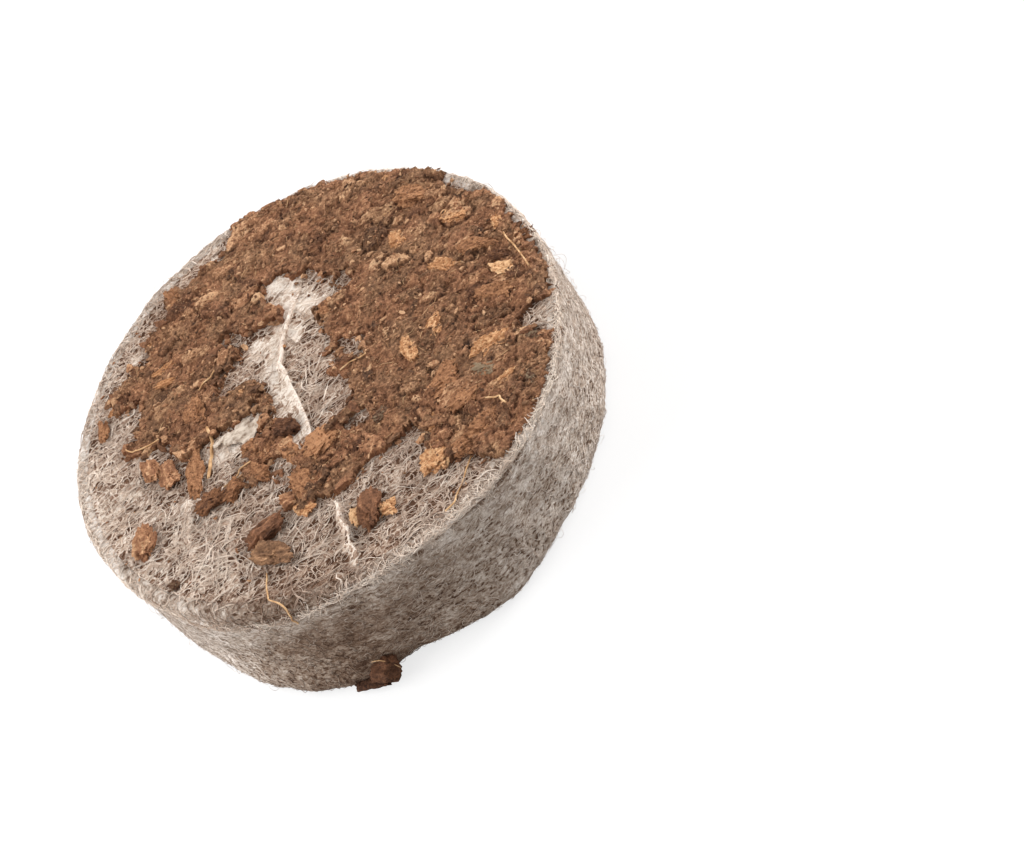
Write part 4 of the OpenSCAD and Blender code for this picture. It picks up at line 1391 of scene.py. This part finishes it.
def seat_chips(chance, chips, thick_share, sink, rough):
    """Shapes and tints of listed chips, each laid flat and sunk a little into what is under it."""
    shapes, tints = [], []
    for x, y, length, width, turn, tint in chips:
        thick = thick_share * width + 0.25
        body = shape_lump(chance, length * 1.1, width * 1.1, thick, sharp=0.85, rough=rough)
        body = turned(body, math.radians(turn), chance.gauss(0, 0.1), chance.gauss(0, 0.1))
        depth = sink if crust_depth(np.array([(x, y)]))[0] > 0 else min(sink, 0.2)
        shapes.append(body + np.array([x, y, surface_z(x, y) + thick * (0.5 - depth)]))
        grain = [uneven(0.6 * length * w[0], 2.4 * width * w[1], x) for w in chip_ways]
        tints.append(tint + 0.3 * np.array(grain))
    return shapes, tints


lump_shapes, lump_tints = seat_chips(lump_chance, fleece_lumps, thick_share=0.45, sink=0.3, rough=0.75)
lumps = join_shapes("coir_fleece_lumps", lump_shapes, chip_faces, lump_tints)
finish_piece(lumps, coir_crumb, "coir_crumb", "coir_lumps", flat=True)

# Husk chips
# Torn flakes of coconut husk in the crust: tan ones of open, corky pith, brown ones of fibre, and a
# few dark ones. They are pressed in and stand a little proud.
tan_chips = [
    (16.7, -5.8, 2.4, 1.3, -56, 0.65), (7.2, -5.6, 2.2, 1.1, 75, 0.4), (9.7, -5, 2.2, 1.5, 50, 0.3),
    (11.9, -10.8, 2.9, 2.1, -20, 0.3), (13.7, -0.9, 2.8, 1.2, -56, 0.25),
    (17.1, 2.8, 2.3, 1.5, -40, 0.3), (12.7, 5, 1.7, 1.4, 60, 0.3), (15.6, 11.9, 1, 0.6, -20, 0.4),
    (4.5, -13.2, 2.4, 2, 29, 0.05), (3.3, -15.7, 2.4, 1.9, 52, 0.45), (-8, 11.6, 2.6, 0.7, -5, 0.15),
    (-8.2, 9.9, 3.6, 0.6, -3, 0.2), (19.1, -0.9, 1.5, 0.9, 75, 0.3), (10.8, -14.3, 1.7, 0.8, -10, 0.4),
    (-6.4, -11.1, 1.6, 0.9, -56, 0.4), (-3.7, -15, 1.3, 1.1, 63, 0.7),
    (-1.7, -16.4, 1.5, 1.2, 52, 0.5), (0.1, 4.35, 0.45, 0.42, 0, 0.4), (-4.6, 3.4, 0.5, 0.5, 0, 0.4),
    (-13.6, 12, 1.1, 0.8, 30, 0.2), (-8.1, 15.3, 1.2, 0.7, 60, 0.3),
]
brown_chips = [
    (-2.5, -6.7, 3, 2.2, 6, 0.8), (-8.7, 4.8, 3, 2, 70, 0.4), (16.4, 8, 2.8, 2.2, -30, 0.5),
    (7.8, -10.4, 3.2, 2, 10, 0.5), (8.2, -13, 3, 1.6, 20, 0.4), (14.7, -6.8, 2.8, 1.5, -50, 0.4),
    (16.6, -1.6, 2.8, 1.2, -40, 0.45), (-4.1, 17.9, 1.8, 1.4, 80, 0.4),
    (4.8, 4.3, 1.5, 1.2, -20, 0.55), (7.4, -16.6, 2.8, 1.7, 25, 0.45),
    (-11.4, -0.2, 3.8, 1.3, 62, 0.5), (-15.2, 10.9, 2.2, 0.9, 70, 0.5),
    (-11.6, -3.8, 2.3, 1.6, -21, 0.0), (-9.8, -4.6, 2.3, 1.4, 23, 0.25),
    (-4.8, -5.2, 2.8, 1.2, -88, 0.6), (-6.5, -2.2, 1.6, 1.5, -18, 0.45),
    (-5.9, -3.8, 1.7, 1.4, 9, 0.35), (-7.4, -5, 2.2, 1.1, -70, 0.3), (-5.3, -9.2, 3.3, 2, -77, 0.5),
    (5.3, -16.6, 1.9, 1.8, -15, 0.35), (17.3, -4.1, 1.9, 0.9, -46, -0.3),
    (19.6, -3.5, 1.9, 1.2, -40, -0.1),
]
dark_chips = [
    (2.4, -8.8, 1.7, 0.8, 15, 0.3), (2.9, -1.2, 0.7, 0.6, 0, 0.2), (10.3, -12.3, 2.2, 1.2, -52, 1.1),
    (12.2, -15.8, 1.4, 0.7, 70, 0.4), (3.7, -13.7, 1.1, 0.6, -85, 0.4),
    (14.6, -13.1, 1.2, 0.7, -40, 0.4), (-17.5, -8.1, 0.8, 0.7, -70, 0.2),
]
husk_kinds = {
    "husk_tan": (tan_chips, [(134, 88, 56), (190, 136, 93), (234, 190, 144)]),
    "husk_brown": (brown_chips, [(82, 52, 35), (140, 96, 66), (182, 132, 94)]),
    "husk_dark": (dark_chips, [(56, 37, 27), (98, 68, 50), (138, 118, 94)]),
}
husk_chance = random.Random(67)
for husk, (chips, shades) in husk_kinds.items():
    husk_finish, husk_tree, husk_surface = start_material(husk, 0.9)
    husk_streaks = add_noise(husk_tree, 5, 7, (0.8, 1, 1))
    husk_pits = add_range(husk_tree, add_cells(husk_tree, 3.6, "F1", "Distance", 0.4), 0.1, 0.45)
    husk_tint = read_amount(husk_tree, "clump")
    husk_mix = add_sum(husk_tree, (husk_streaks, 0.9), (husk_tint, 0.4), (husk_pits, 0.25))
    colour_surface(husk_tree, husk_surface, husk_mix, list(zip((0.52, 0.8, 1.0), shades)))
    add_bump(husk_tree, husk_surface, husk_mix, 0.2, 0.8)
    chip_shapes, chip_tints = seat_chips(husk_chance, chips, thick_share=0.3, sink=0.74, rough=1.0)
    chip_piece = join_shapes(f"{husk}_chips", chip_shapes, chip_faces, chip_tints)
    finish_piece(chip_piece, husk_finish, husk, husk.replace("husk", "husk_chips"), flat=True)

# Stray coir fibres
# Coarse golden fibres of the husk that lie across the crust and the fleece, stuck where they touch.
fibre_routes = [
    [(-8.4, 2.6), (-9.1, 1), (-9.85, -0.2), (-10.75, -1.45)],
    [(-14.6, 7), (-14.2, 6.2), (-13.8, 6), (-12, 5.3)],
    [(-7.2, 6.7), (-6.3, 6.8), (-5.2, 7.2)],
    [(-10.2, -3.5), (-8.8, -3.3), (-7.4, -3.5)],
    [(2.2, -2.3), (3.2, -2.4), (4.6, -2.8)],
    [(18.7, -2.4), (18.5, -4.5), (18.1, -7.4)],
    [(-11.5, -13.3), (-12.1, -14.4), (-12.5, -15.5), (-11.9, -17.2), (-12.6, -18), (-13, -18.6)],
    [(8.8, -14.8), (9.6, -15.6), (9.6, -16.6)],
    [(1.2, -20.2), (2.5, -19.8), (3.7, -19), (5.2, -17.9)],
]
fibre_t = 0.14
fibre_chance = random.Random(71)
fibre_curves = bpy.data.curves.new("coir_stray_fibres", "CURVE")
fibre_curves.dimensions = "3D"
fibre_curves.bevel_depth = fibre_t / 2 * MM
fibre_curves.bevel_resolution = 1
fibre_curves.resolution_u = 6
fibre_curves.use_fill_caps = True
for route in fibre_routes:
    points = []
    for (ax, ay), (bx, by) in zip(route, route[1:]):
        for share in (0, 0.33, 0.67):
            x = ax + share * (bx - ax) + fibre_chance.gauss(0, 0.05)
            y = ay + share * (by - ay) + fibre_chance.gauss(0, 0.05)
            points.append((x, y))
    points.append(route[-1])
    spline = fibre_curves.splines.new("NURBS")
    spline.points.add(len(points) - 1)
    spline.order_u = 3
    spline.use_endpoint_u = True
    for knot, (x, y) in zip(spline.points, points):
        around = ((0, 0), (0.15, 0), (-0.15, 0), (0, 0.15), (0, -0.15))
        highest = max(surface_z(x + dx, y + dy) for dx, dy in around)
        knot.co = (x * MM, y * MM, (highest + 0.06) * MM, 1)
        if math.hypot(x, y) > top_run - 0.3:
            knot.co = (*bag_point(math.hypot(x, y), math.atan2(y, x), 0.2), 1)
        knot.radius = fibre_chance.uniform(0.75, 1.1) * (2.1 if route is fibre_routes[0] else 1)
fibres = bpy.data.objects.new("coir_stray_fibres", fibre_curves)
bpy.context.collection.objects.link(fibres)
bpy.ops.object.select_all(action="DESELECT")
fibres.select_set(True)
bpy.context.view_layer.objects.active = fibres
bpy.ops.object.convert(target="MESH")
fibres = bpy.context.object
join_points(fibres, 0.002)
coir_fibre, stray_tree, stray_surface = start_material("coir_fibre", 0.55)
stray_colours = [(0.3, (158, 114, 74)), (0.5, (206, 162, 116)), (0.7, (236, 200, 154))]
colour_surface(stray_tree, stray_surface, add_noise(stray_tree, 1.5, 3), stray_colours)
finish_piece(fibres, coir_fibre, "coir_fibre", "coir_fibres")

# The clod at the foot
# A lump of coir and a flat flake beside it, caught on the outside of the bag low on the wall.
clod_chance = random.Random(73)
clod_parts = [(-117.1, 1.1, 1.3, 2.7, 2.0, 2.3, 0, 0.15), (-121, 0.33, 1.5, 3.5, 1.4, 0.62, -12, 0.03)]
clod_shapes, clod_tints = [], []
for angle, height, out, length, depth_out, tall, turn, tint in clod_parts:
    body = shape_lump(clod_chance, length, depth_out, tall, sharp=0.85, rough=0.5)
    angle = math.radians(angle)
    body = turned(body, angle + math.pi / 2 + math.radians(turn), 0, 0)
    far = wall_r + out * 0.55
    body = body + np.array([far * math.cos(angle), far * math.sin(angle), height])
    body[:, 2] = np.maximum(body[:, 2], 0.02)
    clod_shapes.append(body)
    clod_tints.append(tint)
clod = join_shapes("coir_foot_clod", clod_shapes, chip_faces, clod_tints)
finish_piece(clod, coir_crumb, "coir_crumb", "foot_clod")
clod_route = [
    (-121.2, 21.15, 1.4), (-119.7, 21.3, 1.8), (-118, 21.5, 2.2), (-116.4, 21.7, 2.35), (-115, 21.9, 2.15),
    (-114, 22.05, 1.7), (-113.4, 22.1, 1.1),
]
clod_path = []
for angle, radius, height in clod_route:
    angle = math.radians(angle)
    clod_path.append(Vector((radius * math.cos(angle), radius * math.sin(angle), height)) * MM)
clod_fibre = lay_strands("coir_clod_fibre", [(clod_path, 0.6, 0.13)])
finish_piece(clod_fibre, coir_fibre, "coir_crumb", "foot_clod")
